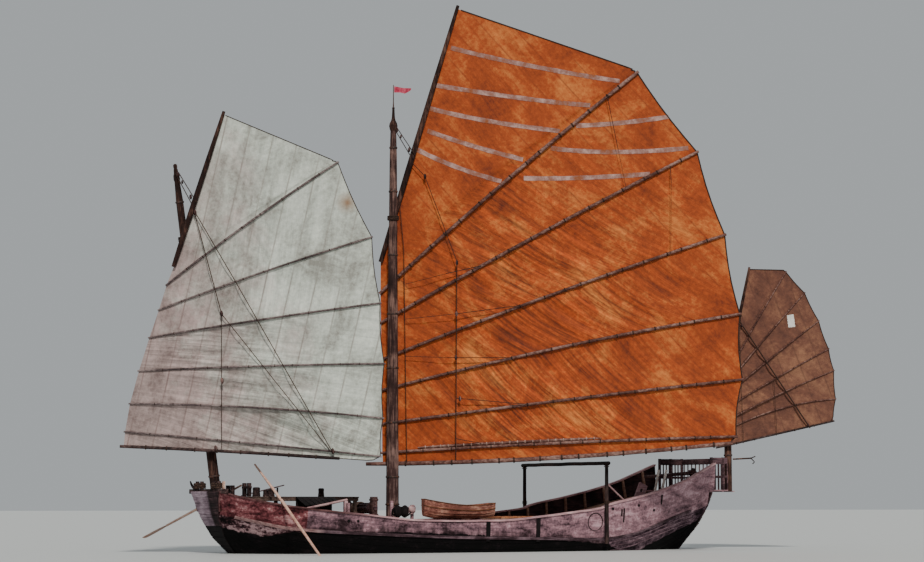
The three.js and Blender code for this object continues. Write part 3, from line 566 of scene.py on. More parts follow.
def sailcloth(name, *shades, seam, pitch, seam_slant, streak_slant, contrast=1.0, seam_shows=0.5, crease_shows=0.55,
              stain=None):
    """Dyed canvas in a dark, a middle and a light shade, with seams a pitch apart. Slants are in degrees."""
    made, tree, shader = new_material(name, 0.92, Sheen_Weight=0.12)
    cut = node(tree, "TexCoord").outputs["UV"]
    cloudy = node(tree, "TexNoise", {"Vector": cut, "Scale": 0.42, "Detail": 8, "Roughness": 0.7, "Distortion": 0.6})
    turned = node(tree, "Mapping", {"Vector": cut, "Rotation": (0, 0, -math.radians(streak_slant))})
    run = node(tree, "Mapping", {"Vector": turned, "Scale": (0.22, 1.5, 1)})
    streak = node(tree, "TexNoise", {"Vector": run, "Scale": 1.6, "Detail": 6, "Roughness": 0.62})
    fine = node(tree, "TexNoise", {"Vector": cut, "Scale": 6.0, "Detail": 5, "Roughness": 0.7})
    part = node(tree, "Math", [streak, 0.38, cloudy], operation="MULTIPLY_ADD")
    more = node(tree, "Math", [fine, 0.45, part], operation="MULTIPLY_ADD")
    even = node(tree, "Math", [more, 1 / 1.83], operation="MULTIPLY")
    reach = 0.13 / contrast
    dyed = node(tree, "ValToRGB", {"Fac": even}, stops=list(zip((0.5 - reach, 0.5, 0.5 + reach), shades)))

    strips = node(tree, "Mapping", {"Vector": cut, "Rotation": (0, 0, math.radians(seam_slant))})
    across = node(tree, "SeparateXYZ", [strips])
    share = node(tree, "Math", [across, 1 / pitch], operation="MULTIPLY")
    within = node(tree, "Math", [share], operation="FRACT")
    middle_off = node(tree, "Math", [within, 0.5], operation="SUBTRACT")
    off = node(tree, "Math", [middle_off], operation="ABSOLUTE")
    line = node(tree, "MapRange", {"Value": off, "From Min": 0.5 - SEAM_SHADOW / pitch, "From Max": 0.5})
    worn = node(tree, "MapRange", {"Value": cloudy, "From Min": 0.38, "From Max": 0.6, "To Min": 0.1,
                                   "To Max": seam_shows})
    faint = node(tree, "Math", [line, worn], operation="MULTIPLY")
    sewn = node(tree, "MixRGB", {"Fac": faint, "Color1": dyed, "Color2": linear(seam)})

    # the creases are also painted into the colour, lighter along their crests and darker beside them: a painted light
    # and shade, strongest where the folds are pulled deepest
    folds = node(tree, "Attribute", attribute_name="folds").outputs["Vector"]
    lengthwise = node(tree, "Mapping", {"Vector": folds, "Scale": (1000 / CREASE_MM, 0.32, 0)})
    creases = node(tree, "TexNoise", {"Vector": lengthwise, "Scale": 1.0, "Detail": 5, "Roughness": 0.68})
    pulled = node(tree, "SeparateXYZ", [folds]).outputs["Z"]
    crease_light_and_shade = node(tree, "MapRange", {"Value": creases, "From Min": 0.36, "From Max": 0.64, "To Min": 1 - crease_shows,
                                     "To Max": 1 + crease_shows})
    colour = node(tree, "MixRGB", {"Fac": pulled, "Color1": sewn, "Color2": crease_light_and_shade}, blend_type="MULTIPLY")
    if stain:
        colour = stain(tree, cut, colour)

    slub = node(tree, "TexNoise", {"Vector": cut, "Scale": 1000 / SLUB_MM / 2, "Detail": 3})
    heights = node(tree, "Math", [slub, 0.25, streak], operation="MULTIPLY_ADD")
    ridged = node(tree, "Math", [creases, pulled], operation="MULTIPLY")
    both = node(tree, "Math", [ridged, 2.0, heights], operation="MULTIPLY_ADD")
    finish(tree, shader, colour, both, 0.7, 0.05)
    return made

# %% [markdown]
# The three sails differ in dye and in how their strips of cloth run. The fore sail is the old
# bleached one: tan from the spars has stained its forward side and foot, and it has a spot of
# rust.

# %% The three canvases
RUST_SPOT = dict(at=(6.46, 10.73), radius=0.5)    # metres in the fore sail's own frame


def rusty_luff(tree, cut, colour):
    """The fore sail's forward side and foot are stained pink-brown by tan from the spars, and one spot is rust."""
    place = node(tree, "SeparateXYZ", [cut])
    cloud = node(tree, "TexNoise", {"Vector": cut, "Scale": 0.6, "Detail": 8, "Roughness": 0.7})
    lower = node(tree, "Math", [place.outputs["Y"], 0.16, place], operation="MULTIPLY_ADD")
    blown = node(tree, "Math", [cloud, 13.0, lower], operation="MULTIPLY_ADD")
    amount = node(tree, "MapRange", {"Value": blown, "From Min": 6.6, "From Max": 11.8, "To Min": 1.0, "To Max": 0.0})
    tinted = node(tree, "MixRGB", {"Fac": amount, "Color1": colour, "Color2": linear("D6B8BD")}, blend_type="MULTIPLY")
    off = node(tree, "VectorMath", [cut, (*RUST_SPOT["at"], 0)], operation="DISTANCE").outputs["Value"]
    ragged = node(tree, "Math", [cloud, 0.35, off], operation="MULTIPLY_ADD")
    spot = node(tree, "MapRange", {"Value": ragged, "From Min": 0.15 + RUST_SPOT["radius"], "From Max": 0.2,
                                   "To Min": 0.0, "To Max": 0.85})
    return node(tree, "MixRGB", {"Fac": spot, "Color1": tinted, "Color2": linear("86603F")})


CLOTHS = {
    "main": sailcloth("tanned_orange_canvas", "662305", "9E420E", "CC7A38", seam="6A260C", pitch=0.95, seam_slant=-42,
                      streak_slant=-48, contrast=0.95, seam_shows=0.6, crease_shows=0.62),
    "fore": sailcloth("bleached_canvas", "8C8B83", "B7BCB2", "D6DAD0", seam="6A564E", pitch=0.95, seam_slant=20,
                      streak_slant=70, contrast=1.35, seam_shows=0.7, crease_shows=0.4, stain=rusty_luff),
    "mizzen": sailcloth("bark_tanned_canvas", "492B23", "6C4434", "93674C", seam="40251D", pitch=0.8, seam_slant=-20,
                        streak_slant=-40, contrast=1.1, crease_shows=0.2)}

# %% [markdown]
# No two panels of a sail crease alike, since each hangs from a pole at its own angle. For
# each panel from the foot up, the table gives the slant of its folds in degrees, how deep
# they are in metres, how much they flatten towards the foot, and where between the mast and
# the free edge they are strongest.

# %% Sails: the three cloths
FOLDS = {
    "main": [(32, 0.1, 0.0, 0.4), (54, 0.26, 0.18, 0.45), (58, 0.24, 0.1, 0.4), (52, 0.32, 0.12, 0.5),
             (50, 0.28, 0.08, 0.45), (50, 0.22, 0.06, 0.35), (46, 0.12, 0.04, 0.3), (44, 0.05, 0.0, 0.3)],
    "fore": [(15, 0.26, 0.0, 0.45), (17, 0.34, 0.06, 0.62), (10, 0.2, 0.0, 0.45), (14, 0.22, 0.0, 0.25),
             (-74, 0.08, 0.0, 0.5), (-74, 0.08, 0.0, 0.5), (-74, 0.06, 0.0, 0.5), (-74, 0.06, 0.0, 0.5)],
    "mizzen": [(20, 0.1, 0.0, 0.4), (28, 0.12, 0.1, 0.4), (35, 0.12, 0.1, 0.4), (38, 0.12, 0.1, 0.4),
               (38, 0.1, 0.0, 0.4), (38, 0.1, 0.0, 0.4), (38, 0.08, 0.0, 0.4), (38, 0.08, 0.0, 0.4)]}
HOLLOW_EDGE = {"main": 0.1, "fore": 0.07, "mizzen": 0.06}    # how far the free edge curves in
GRIDS = {}
for number, (name, sail) in enumerate(SAILS.items()):
    GRIDS[name], places = cloth_grid(sail, FOLDS[name], 11.3 * (number + 1), HOLLOW_EDGE[name])
    dress(cloth_piece(f"{name}_canvas", sail, GRIDS[name], places), f"{name}_canvas", CLOTHS[name],
          f"{name}_sail_rig", [f"{name}_sail"], crease=60)

# %% [markdown]
# The battens are rough poles, each a little crooked, lashed to the cloth every metre or so.
# A pole is a round tube along the batten's bowed line with its thickness varied, and one
# lashing, two turns of thin rope, is copied along all of them. The main sail's lowest
# batten is doubled by a second pole, laced on where the sail's weight rests when lowered.

# %% Battens, booms and lashings
POLE_STEPS = 16
LASHING_EVERY = 0.85
POLE_SHOWS = {"main": 1.2, "fore": 0.92, "mizzen": 0.8}     # bark, knots and lashing tails thicken a pole
POLE_OF = {"main": POLE_WOOD, "fore": GREY_POLE, "mizzen": POLE_WOOD}
DOUBLED = dict(start=0.1, end=0.62, radius=0.052, rise=0.125, steps=12, ties=24)


def lashing():
    """Two turns of rope round a pole one metre in radius, scaled to each pole later."""
    return join([ring(1.12, 0.17, shift(0, 0, lift), (14, 6)) for lift in (-0.16, 0.2)])


def tie_at(pole_point, share, step, radius):
    here = pole_point(share)
    return axis_frame(here, pole_point(share + step) - here, radius)


for name, sail in SAILS.items():
    at, rig = sail_frame(sail), f"{name}_sail_rig"
    ties = []
    for part, radius, x0, z0, x1, z1, rise, over in sail["spars"]:
        length = math.hypot(x1 - x0, z1 - z0)
        reach = over / length
        radius *= POLE_SHOWS[name]
        pole_point = lambda share: at @ bowed((x0, z0), (x1, z1), rise, share, sail["side"] - radius - GAP)
        widths = [0.93 + 0.13 * noise.noise(Vector((k * 0.8, z0, radius * 9))) - 0.12 * (k in (0, POLE_STEPS))
                  for k in range(POLE_STEPS + 1)]
        pole = tube([pole_point(share) for share in spread(-reach, 1 + reach, POLE_STEPS + 1)], radius, 3, widths)
        tarred = part == "boom" and name != "main"
        dress(pole, f"{name}_{part}_pole", TARRED_POLE if tarred else POLE_OF[name], rig, [f"{name}_{part}"],
              crease=50)
        count = int(length / LASHING_EVERY)
        ties += [tie_at(pole_point, k / count + 0.01 * math.sin(k * 2.4), 0.01, radius) for k in range(1, count)]
    dress(copies(lashing(), ties), f"{name}_lashings", TARRED_ROPE, rig, crease=60)

boom_sail, (_, _, x0, z0, x1, z1, rise, _) = SAILS["main"], SAILS["main"]["spars"][1]
at, lift = sail_frame(boom_sail), Vector((0, 0, DOUBLED["rise"]))


def doubled_point(share):
    along = mix(DOUBLED["start"], DOUBLED["end"], share)
    return at @ (bowed((x0, z0), (x1, z1), rise, along, boom_sail["side"] - DOUBLED["radius"] - GAP) + lift)


line = [doubled_point(share) for share in spread(0, 1, DOUBLED["steps"] + 1)]
dress(tube(line, DOUBLED["radius"], 3, [0.4, 0.8] + [1.0] * 9 + [0.8, 0.4]), "main_doubling_pole", POLE_WOOD,
      "main_sail_rig", crease=50)
ties = [tie_at(doubled_point, k / DOUBLED["ties"], 0.02 / DOUBLED["ties"], DOUBLED["radius"])
        for k in range(1, DOUBLED["ties"])]
dress(copies(lashing(), ties), "main_doubling_lacing", PALE_ROPE, "main_sail_rig", crease=60)

# %% [markdown]
# The yard is the heavy spar along the head of the sail. It is thickest a third of the way
# up, where it hangs from the mast, and a rope collar called a parrel holds it to the mast.
# A thin rope is sewn into the hem all round, so it follows the outermost points of the cloth.

# %% Yards, parrels and hem ropes
YARD_TAPER = [(0, 0.75), (0.12, 0.86), (0.35, 1), (0.55, 0.93), (0.7, 0.85), (0.88, 0.68), (1, 0.55)]
MAST_AT_PARREL = {"main": 0.168, "fore": 0.168, "mizzen": 0.152}
HEM_RADIUS = {"main": 0.028, "fore": 0.018, "mizzen": 0.02}
for name, sail in SAILS.items():
    at, grid, rig = sail_frame(sail), GRIDS[name], f"{name}_sail_rig"
    radius, heel, peak = sail["yard"]
    line = [at @ bowed(heel, peak, 0, share, sail["side"] - GAP - k * radius) for share, k in YARD_TAPER]
    yard = tube(line, radius, 4, [k for _, k in YARD_TAPER])
    crossing = heel[1] - heel[0] * (peak[1] - heel[1]) / (peak[0] - heel[0])     # where the yard passes the mast
    away = sail["side"] - radius
    collar = []
    for z in (crossing - 0.06, crossing, crossing + 0.06):
        bend = [Vector((-0.16, 0.0, z)), Vector((-0.12, away * 0.5, z)), Vector((0.0, away + radius * 0.4, z))]
        collar += [ring(MAST_AT_PARREL[name] + 0.045, 0.032, at @ shift(0, 0, z), (28, 8)),
                   tube([at @ p for p in bend], 0.03, 1)]
    dress(yard, f"{name}_yard_spar", TARRED_SPAR, rig, [f"{name}_yard"], crease=50)
    dress(collar, f"{name}_parrel", TARRED_ROPE, rig, crease=60)
    rim = grid[0][::6] + [line[-1] for line in grid[4:-4:4]] + grid[-1][::-6]
    dress(tube([at @ p for p in rim], HEM_RADIUS[name], 1), f"{name}_hem_rope", TARRED_ROPE, rig, crease=60)

# %% [markdown]
# The hull is planked: long boards, the strakes, run from bow to stern and follow its curve.
# Its shape is a table of stations, each a slice across the ship. Smooth curves through the
# table give every strake its run, and a shallow groove along each edge is the caulked seam.
# A lofted surface made point by point is used here, because no primitive has these lines.

# %% Lines of the hull
STATION_KEYS = ("x", "rail_z", "rail_y", "wale_z", "deck_z", "keel_z", "keel_y", "fullness")
STATIONS = [
    (11.24, 2.35, 1.48, 1.6, 1.7, 1.43, 0.84, 1.2), (10.85, 2.22, 1.85, 1.47, 1.62, 0.65, 0.56, 1.3),
    (10.25, 2.07, 2.28, 1.31, 1.52, 0.0, 0.3, 1.4), (9.3, 1.89, 2.64, 1.09, 1.38, -0.6, 0.2, 1.6),
    (8.0, 1.72, 2.89, 0.94, 1.2, -1.1, 0.18, 1.9), (6.0, 1.53, 3.04, 0.83, 1.01, -1.4, 0.17, 2.2),
    (3.6, 1.31, 3.11, 0.72, 0.85, -1.58, 0.17, 2.5), (1.9, 1.285, 3.14, 0.66, 0.79, -1.66, 0.17, 2.6),
    (0.0, 1.295, 3.15, 0.62, 0.78, -1.7, 0.17, 2.6), (-1.9, 1.45, 3.14, 0.59, 0.81, -1.68, 0.17, 2.5),
    (-3.4, 1.61, 3.1, 0.56, 0.87, -1.62, 0.17, 2.4), (-4.85, 1.79, 3.06, 0.54, 0.98, -1.51, 0.17, 2.2),
    (-5.1, 1.9, 3.06, 0.55, 1.01, -1.48, 0.17, 2.2), (-6.6, 2.21, 2.95, 0.74, 1.45, -1.25, 0.22, 2.0),
    (-8.0, 2.53, 2.8, 1.13, 1.8, -0.95, 0.3, 1.7), (-9.4, 2.95, 2.6, 1.53, 2.15, -0.42, 0.6, 1.4),
    (-10.0, 3.2, 2.5, 1.68, 2.27, 0.0, 1.0, 1.3), (-10.66, 3.48, 2.38, 1.84, 2.39, 1.1, 1.6, 1.2),
    (-10.87, 3.57, 2.34, 1.95, 2.43, 1.85, 2.0, 1.2)]
STATION_X = [row[0] for row in STATIONS]
BOW_X, STERN_X = STATION_X[0], STATION_X[-1]
QUARTER_STEP = (-5.1, -4.85)                  # where the rail steps up to the raised quarter


def station_after(x):
    return max(1, next((i for i, at in enumerate(STATION_X) if at <= x), len(STATION_X) - 1))


def straight(key, x):
    """A value of the table at any x, on straight lines between stations."""
    column, i = STATION_KEYS.index(key), station_after(x)
    a, b = STATIONS[i - 1], STATIONS[i]
    return mix(a[column], b[column], (x - a[0]) / (b[0] - a[0]))


def fair(key, x):
    """The same on a smooth curve that never overshoots the table."""
    column, i = STATION_KEYS.index(key), station_after(x)
    slopes = [(b[column] - a[column]) / (b[0] - a[0]) for a, b in zip(STATIONS, STATIONS[1:])]

    def tangent(k):
        near = slopes[max(k - 1, 0):k + 1]
        a, b = near[0], near[-1]
        return 0.0 if a * b <= 0 else 2 * a * b / (a + b)

    before, after = STATIONS[i - 1], STATIONS[i]
    step = after[0] - before[0]
    t = (x - before[0]) / step
    return ((2 * t ** 3 - 3 * t ** 2 + 1) * before[column] + (t ** 3 - 2 * t ** 2 + t) * step * tangent(i - 1)
            + (3 * t ** 2 - 2 * t ** 3) * after[column] + (t ** 3 - t ** 2) * step * tangent(i))


def half_breadth(x, z):
    keel, rail, full = fair("keel_z", x), fair("rail_z", x), fair("fullness", x)
    t = min(max((z - keel) / (rail - keel), 0), 1)
    return mix(fair("keel_y", x), fair("rail_y", x), (1 - (1 - t) ** full) ** (1 / full))


def side_map(p):
    """Distance along the ship, and height above the wale, for what is painted on the side."""
    return p.x, p.z - fair("wale_z", min(max(p.x, STERN_X), BOW_X))


def seams(boards, shape):
    """Places across a run of boards, each with its share of a seam's depth."""
    return [((k + place) / boards, dip) for k in range(boards) for place, dip in shape]

# %% [markdown]
# Below the deck eleven strakes close the ship in on each side, down to the keel. One slice
# of the skin is drawn at each station and at even steps between, and the slices are joined.

# %% Strakes below the deck
STRAKES_BELOW = 11
SKIN = 0.075
SEAM_DEPTH = 0.014
SEAM_SHAPE = ((0.0, 1.0), (0.05, 0.0), (0.5, -0.35), (0.95, 0.0))    # place across a strake, share of the seam's depth
SIDE_XS = sorted(set(spread(BOW_X, STERN_X, 67) + STATION_X), reverse=True)


def hull_ring(x):
    keel, deck = fair("keel_z", x), straight("deck_z", x) - 0.004
    outer = []
    for share, dip in seams(STRAKES_BELOW, SEAM_SHAPE) + [(1, 0)]:
        z = mix(keel, deck, share)
        outer.append((half_breadth(x, z) - dip * SEAM_DEPTH, z))
    inner = [(max(0.02, y - SKIN), max(z, keel + SKIN)) for y, z in outer[::5]]
    port = [(x, y, z) for y, z in outer + inner[::-1]]
    return port + [(x, -y, z) for _, y, z in port[::-1]]


planking = ring_loft([hull_ring(x) for x in SIDE_XS], side_map)

# %% [markdown]
# The paint tells the ship's history. The bow panel keeps its red-brown oil, the rest of the
# side is bleached to a pinkish grey with rust and rain streaks, and below the wale the wood
# is black with tar. The side's own map gives the distance along the ship and the height
# above the wale, so each zone's edge follows the ship's sheer.

# %% Colours of the hull
BOW_PANEL_FROM, STERN_PLANKS_FROM = 8.42, -5.15
GREY_STOPS = [(0.38, "2E1F23"), (0.45, "664D55"), (0.53, "947179"), (0.63, "C3A0A8")]
RED_STOPS = [(0.4, "200D10"), (0.47, "51272B"), (0.53, "7C464A"), (0.61, "B48D8C")]
TAR_STOPS = [(0.42, "020202"), (0.54, "060405"), (0.64, "1C1417")]
MOTTLE_STOPS = [(0.45, "0C0708"), (0.5, "4A2E33"), (0.55, "A08386")]
STERN_STOPS = [(0.4, "100A0B"), (0.48, "42303A"), (0.55, "775F68"), (0.62, "A88E96")]
GRIME = "1C1012"
RAMP_REACH = 11.5                             # a ramp covers this far before and abaft the middle
FADE_RANGE, EDGE_RANGE = (-0.05, 0.05), (-1.0, 0.3)
FADING = [(-11.0, 0.03), (-7.0, 0.035), (-4.0, 0.035), (-2.0, 0.0), (0.5, -0.035), (4.0, -0.03), (8.4, -0.02)]
TAR_EDGE = [(-11.0, -0.5), (-9.9, -0.7), (-7.3, -0.9), (-6.2, -0.76), (-5.3, -0.24), (-2.0, -0.06), (1.0, 0.04),
            (4.5, 0.08), (8.3, -0.1), (8.9, -0.16), (9.9, -0.52), (11.3, -0.5)]

# %% [markdown]
# One noise stands for the weather: it drives every colour ramp, so patches run on from one
# zone to the next. The zones are laid over each other from the tar up, and the edge of the
# tar is broken by a second noise. The relief comes from the same noises.

# %% Paint of the hull
def along_ship(tree, x, table, low, high):
    """A number read off a table of (x, value), as a ramp along the ship."""
    share = node(tree, "MapRange", {"Value": x, "From Min": -RAMP_REACH, "From Max": RAMP_REACH})
    levels = [((place + RAMP_REACH) / (2 * RAMP_REACH), (value - low) / (high - low)) for place, value in table]
    stops = [(place, (level, level, level, 1)) for place, level in levels]
    made = node(tree, "ValToRGB", {"Fac": share}, stops=stops)
    return node(tree, "MapRange", {"Value": made, "To Min": low, "To Max": high})


def hull_paint():
    made, tree, shader = new_material("weathered_hull_paint", 0.85, Specular_IOR_Level=0.12)
    coords = node(tree, "TexCoord")
    cut = node(tree, "SeparateXYZ", [coords.outputs["UV"]])
    x, above = cut.outputs["X"], cut.outputs["Y"]
    place = coords.outputs["Object"]
    smeared = node(tree, "Mapping", {"Vector": place, "Scale": (0.7, 1.0, 2.0)})
    patch = node(tree, "TexNoise", {"Vector": smeared, "Scale": 1.5, "Detail": 8, "Roughness": 0.62, "Distortion": 0.3})
    speckle = node(tree, "TexNoise", {"Vector": place, "Scale": 11.0, "Detail": 4, "Roughness": 0.7})
    rain = node(tree, "Mapping", {"Vector": place, "Scale": (2.2, 1.0, 0.6)})
    streak = node(tree, "TexNoise", {"Vector": rain, "Scale": 1.0, "Detail": 6, "Roughness": 0.65})
    total = node(tree, "Math", [speckle, 0.5, patch], operation="MULTIPLY_ADD")
    total = node(tree, "Math", [streak, 0.22, total], operation="MULTIPLY_ADD")
    weather = node(tree, "Math", [total, 1 / 1.72], operation="MULTIPLY")
    faded = node(tree, "Math", [weather, along_ship(tree, x, FADING, *FADE_RANGE)], operation="ADD")
    grey = node(tree, "ValToRGB", {"Fac": faded}, stops=GREY_STOPS)
    red, tar, mottle, stern = (node(tree, "ValToRGB", {"Fac": weather}, stops=stops)
                               for stops in (RED_STOPS, TAR_STOPS, MOTTLE_STOPS, STERN_STOPS))

    is_bow = node(tree, "Math", [x, BOW_PANEL_FROM], operation="GREATER_THAN")
    is_aft = node(tree, "Math", [x, STERN_PLANKS_FROM], operation="LESS_THAN")
    below_wale = node(tree, "Math", [above, -0.1], operation="LESS_THAN")
    upper = node(tree, "MixRGB", {"Fac": is_bow, "Color1": grey, "Color2": red})
    height = node(tree, "Math", [above, along_ship(tree, x, TAR_EDGE, *EDGE_RANGE)], operation="SUBTRACT")

    # dirt climbs in tongues from the tar
    tongue = node(tree, "Math", [streak, -1.3, 0.72], operation="MULTIPLY_ADD")
    reach = node(tree, "Math", [height, tongue], operation="SUBTRACT")
    grime = node(tree, "MapRange", {"Value": reach, "From Min": -0.1, "From Max": 0.2, "To Min": 0.8, "To Max": 0.0})
    upper = node(tree, "MixRGB", {"Fac": grime, "Color1": upper, "Color2": linear(GRIME)})

    # the tar ends in a ragged line; under the wale, bow and stern have planks of their own above it
    ragged = node(tree, "TexNoise", {"Vector": place, "Scale": 2.2, "Detail": 7, "Roughness": 0.75})
    clear = node(tree, "Math", [ragged, 0.3, height], operation="MULTIPLY_ADD")
    dry = node(tree, "MapRange", {"Value": clear, "From Min": 0.13, "From Max": 0.17})
    body = node(tree, "MixRGB", {"Fac": dry, "Color1": tar, "Color2": upper})
    for zone, paint in ((is_bow, mottle), (is_aft, stern)):
        strip = node(tree, "Math", [below_wale, zone], operation="MULTIPLY")
        strip = node(tree, "Math", [strip, dry], operation="MULTIPLY")
        body = node(tree, "MixRGB", {"Fac": strip, "Color1": body, "Color2": paint})
    heights = node(tree, "Math", [speckle, patch], operation="ADD")
    finish(tree, shader, body, heights)
    return made


HULL_PAINT = hull_paint()
dress(planking, "hull_planking", HULL_PAINT, SHIP, ["hull_body"], crease=30)

# %% [markdown]
# Above the deck the planking goes on as the bulwark, held by frames on its inner side and
# capped by a wide rail. At the bow it turns in to the flat bow, and at the stern it runs
# past the last frame to the gallery.

# %% Bulwarks and rails
BULWARK_THICK, CAP_HEIGHT, CAP_OVERHANG = 0.09, 0.07, 0.06
STRAKES_ABOVE = 3
BOW_TURN = dict(foot=(11.285, 1.0, straight("deck_z", BOW_X) + 0.005), head=(11.412, 1.2, 2.4 - CAP_HEIGHT))
STERN_RUN = dict(foot=(-11.1, 2.2, 2.45), head=(-11.1, 2.3, 3.66 - CAP_HEIGHT))


def bulwark_line(x, rail=fair):
    """Foot and head of the bulwark's outer face at a station."""
    deck = straight("deck_z", x)
    return dict(foot=(x, half_breadth(x, deck), deck), head=(x, rail("rail_y", x), rail("rail_z", x) - CAP_HEIGHT))


def bulwark_ring(side, foot, head):
    def at(share, inwards):
        x, y, z = (mix(a, b, share) for a, b in zip(foot, head))
        return x, side * (y - inwards), z
    outer = [at(share, dip * SEAM_DEPTH) for share, dip in [(0, 0)] + seams(STRAKES_ABOVE, SEAM_SHAPE)[1:] + [(1, 0)]]
    return outer + [at(k / STRAKES_ABOVE, BULWARK_THICK) for k in range(STRAKES_ABOVE, -1, -1)]


def cap_ring(side, x, y, z):
    out, back = side * (y + CAP_OVERHANG), side * (y - BULWARK_THICK - CAP_OVERHANG)
    low, top, edge = z + 0.001, z + CAP_HEIGHT, side * 0.012
    shoulder = mix(low, top, 0.8)
    worn = top + 0.006 * noise.noise(Vector((x * 3.1, side, 0)))
    return [(x, out, low), (x, out, shoulder), (x, out - edge, worn), (x, back + edge, worn), (x, back, shoulder),
            (x, back, low)]


# still oiled round the bow, bleached abaft it
RAIL_WOOD = wood("worn_rail_wood", "1E1012", "4A2B2B", "7A5656", zone=("X", 6.0, 8.6, ("6E4E52", "A88286", "D2AEAE")))
# the inner faces of the bulwarks are painted nearly black: a painted shade, not the wood's own colour
INBOARD_PAINTED_SHADE = wood("inboard_wood_painted_shade", "080506", "1E1416", "4A3638", roughness=0.9)
for name, side in (("port", 1), ("starboard", -1)):
    lines = [BOW_TURN, *(bulwark_line(x, straight if x in QUARTER_STEP else fair) for x in SIDE_XS), STERN_RUN]
    planks = dress(ring_loft([bulwark_ring(side, **line) for line in lines], side_map), f"bulwark_planks_{name}",
                   HULL_PAINT, SHIP, [f"bulwark_{name}"], crease=30)
    planks.data.materials.append(INBOARD_PAINTED_SHADE)      # the inner face is painted nearly black, a painted shade for the shadow inside the bulwark
    for p in planks.data.polygons:
        p.material_index = int(p.normal.y * side < -0.3)
    caps = ring_loft([cap_ring(side, *line["head"]) for line in lines])
    dress(caps, f"rail_cap_{name}", RAIL_WOOD, crease=40)

# %% [markdown]
# The wale is a heavy timber bent along the side under the bulwark. It stiffens the hull and
# takes the knocks of a quay. Three lighter ones below it guard the stern quarter.

# %% Wales and rubbing strakes
WALE_WOOD = wood("worn_wale_paint", "5A3A3C", "93706F", "C0A09C", roughness=0.85,
                 zone=("X", 8.1, 8.9, ("120B0D", "3C2A30", "7C656D")))
LOWER_WALE_WOOD = wood("weathered_wale_wood", "2A1C21", "6A515A", "A68C95", roughness=0.85)


def strake_along(side, first, last, drop, height, thick):
    """A timber that follows the side from x to x, this far below the wale's top."""
    rings = []
    for x in [x for x in SIDE_XS if last <= x <= first]:
        top = fair("wale_z", x) - drop
        inner, low = half_breadth(x, top) + 0.001, half_breadth(x, top - height) + 0.001
        rings.append([(x, side * (low - 0.01), top - height), (x, side * (low + thick), top - height + 0.01),
                      (x, side * (inner + thick), top - 0.015), (x, side * (inner - 0.01), top)])
    return ring_loft(rings)


for name, side in (("port", 1), ("starboard", -1)):
    dress(strake_along(side, 10.85, -10.0, 0, 0.12, 0.06), f"wale_timber_{name}", WALE_WOOD, SHIP,
          [f"wale_{name}"], crease=40)
    dress([strake_along(side, -5.3, -10.3, drop, 0.055, 0.035) for drop in (0.21, 0.38, 0.55)], f"lower_wales_{name}",
          LOWER_WALE_WOOD, crease=40)

# %% [markdown]
# The deck is laid in narrow pine planks from end to end, closing towards the bow as the ship
# narrows. Frames stand against the bulwarks about every metre. The frame is modelled once
# and stood up at each place, on both sides.

# %% Deck and frames
DECK_PLANKS = 34
DECK_SEAM = ((0.0, 1.0), (0.08, 0.0), (0.92, 0.0))
FRAME_EVERY, FIRST_FRAME = 0.92, 10.7


def deck_ring(x):
    z = straight("deck_z", x)
    wide = half_breadth(x, z) - 0.03
    top = [(x, mix(-wide, wide, share), z + 0.006 - 0.01 * dip)
           for share, dip in seams(DECK_PLANKS, DECK_SEAM) + [(1, 1)]]
    return top + [(x, wide, z - 0.05), (x, -wide, z - 0.05)]


deck_xs = sorted(set(spread(BOW_X, STERN_X, 40) + STATION_X), reverse=True)
dress(ring_loft([deck_ring(x) for x in deck_xs]), "deck_planks", DECK_WOOD, crease=30)

posts = []
for side in (1, -1):
    x = FIRST_FRAME
    while x > -FIRST_FRAME:
        low, high = (Vector((x, side * (y - BULWARK_THICK - 0.051), z + off))
                     for (_, y, z), off in zip(bulwark_line(x).values(), (0.004, -0.002)))
        posts.append(axis_frame(low, high - low) @ Matrix.Diagonal((1, 1, (high - low).length, 1)))
        x -= FRAME_EVERY
dress(copies(upright(0, 0, (0.045, 0.05), 0, 1, 0.01), posts), "bulwark_frames", DECK_WOOD, crease=30)

# %% [markdown]
# Both ends of a junk are cut off flat and closed with boards laid across. One function lays
# them at the bow and at the stern behind the rudder. Each row gives the place along the
# ship, the height and half the width there.

# %% Boards across the ends
BOW_ROWS = [(10.25, 0.0, 0.3), (10.85, 0.65, 0.56), (11.24, 1.43, 0.84), (11.45, 2.4, 1.29)]
STERN_ROWS = [(-10.0, 0.0, 1.0), (-10.66, 1.1, 1.6), (-10.87, 1.85, 2.0), (-11.01, 2.425, 2.15)]
BOW_COUNT, STERN_COUNT = 12, 10
END_THICK = 0.06


def on_rows(rows, share):
    """A place on the flat end, half its width there and the way it faces."""
    spans = [math.dist(a[:2], b[:2]) for a, b in zip(rows, rows[1:])]
    left = share * sum(spans)
    for a, b, span in zip(rows, rows[1:], spans):
        if left <= span or b is rows[-1]:
            t = min(left / span, 1.0)
            facing = Vector((b[1] - a[1], 0, a[0] - b[0])).normalized()
            return Vector((mix(a[0], b[0], t), 0, mix(a[1], b[1], t))), mix(a[2], b[2], t), facing
        left -= span


def end_boards(rows, outside, count, seed, which):
    boards = []
    for k in which:
        low, low_half, facing = on_rows(rows, (k + 0.012) / count)
        high, high_half, _ = on_rows(rows, (k + 0.985) / count)
        out = facing * outside
        thick = END_THICK + 0.006 * noise.noise(Vector((k * 1.3, seed, 0)))
        rings = []
        for t in spread(-1, 1, 9):
            wave = 0.004 * noise.noise(Vector((k, t * 2, seed)))
            low_end, high_end = Vector((0, t * low_half, 0)), Vector((0, t * high_half, 0))
            rings.append([low + low_end + out * 0.001, low + low_end + out * (thick - 0.012),
                          low.lerp(high, 0.08) + low_end + out * (thick + wave),
                          low.lerp(high, 0.92) + high_end + out * (thick + wave),
                          high + high_end + out * (thick - 0.012), high + high_end + out * 0.001])
        boards.append(ring_loft(rings, side_map))
    return boards
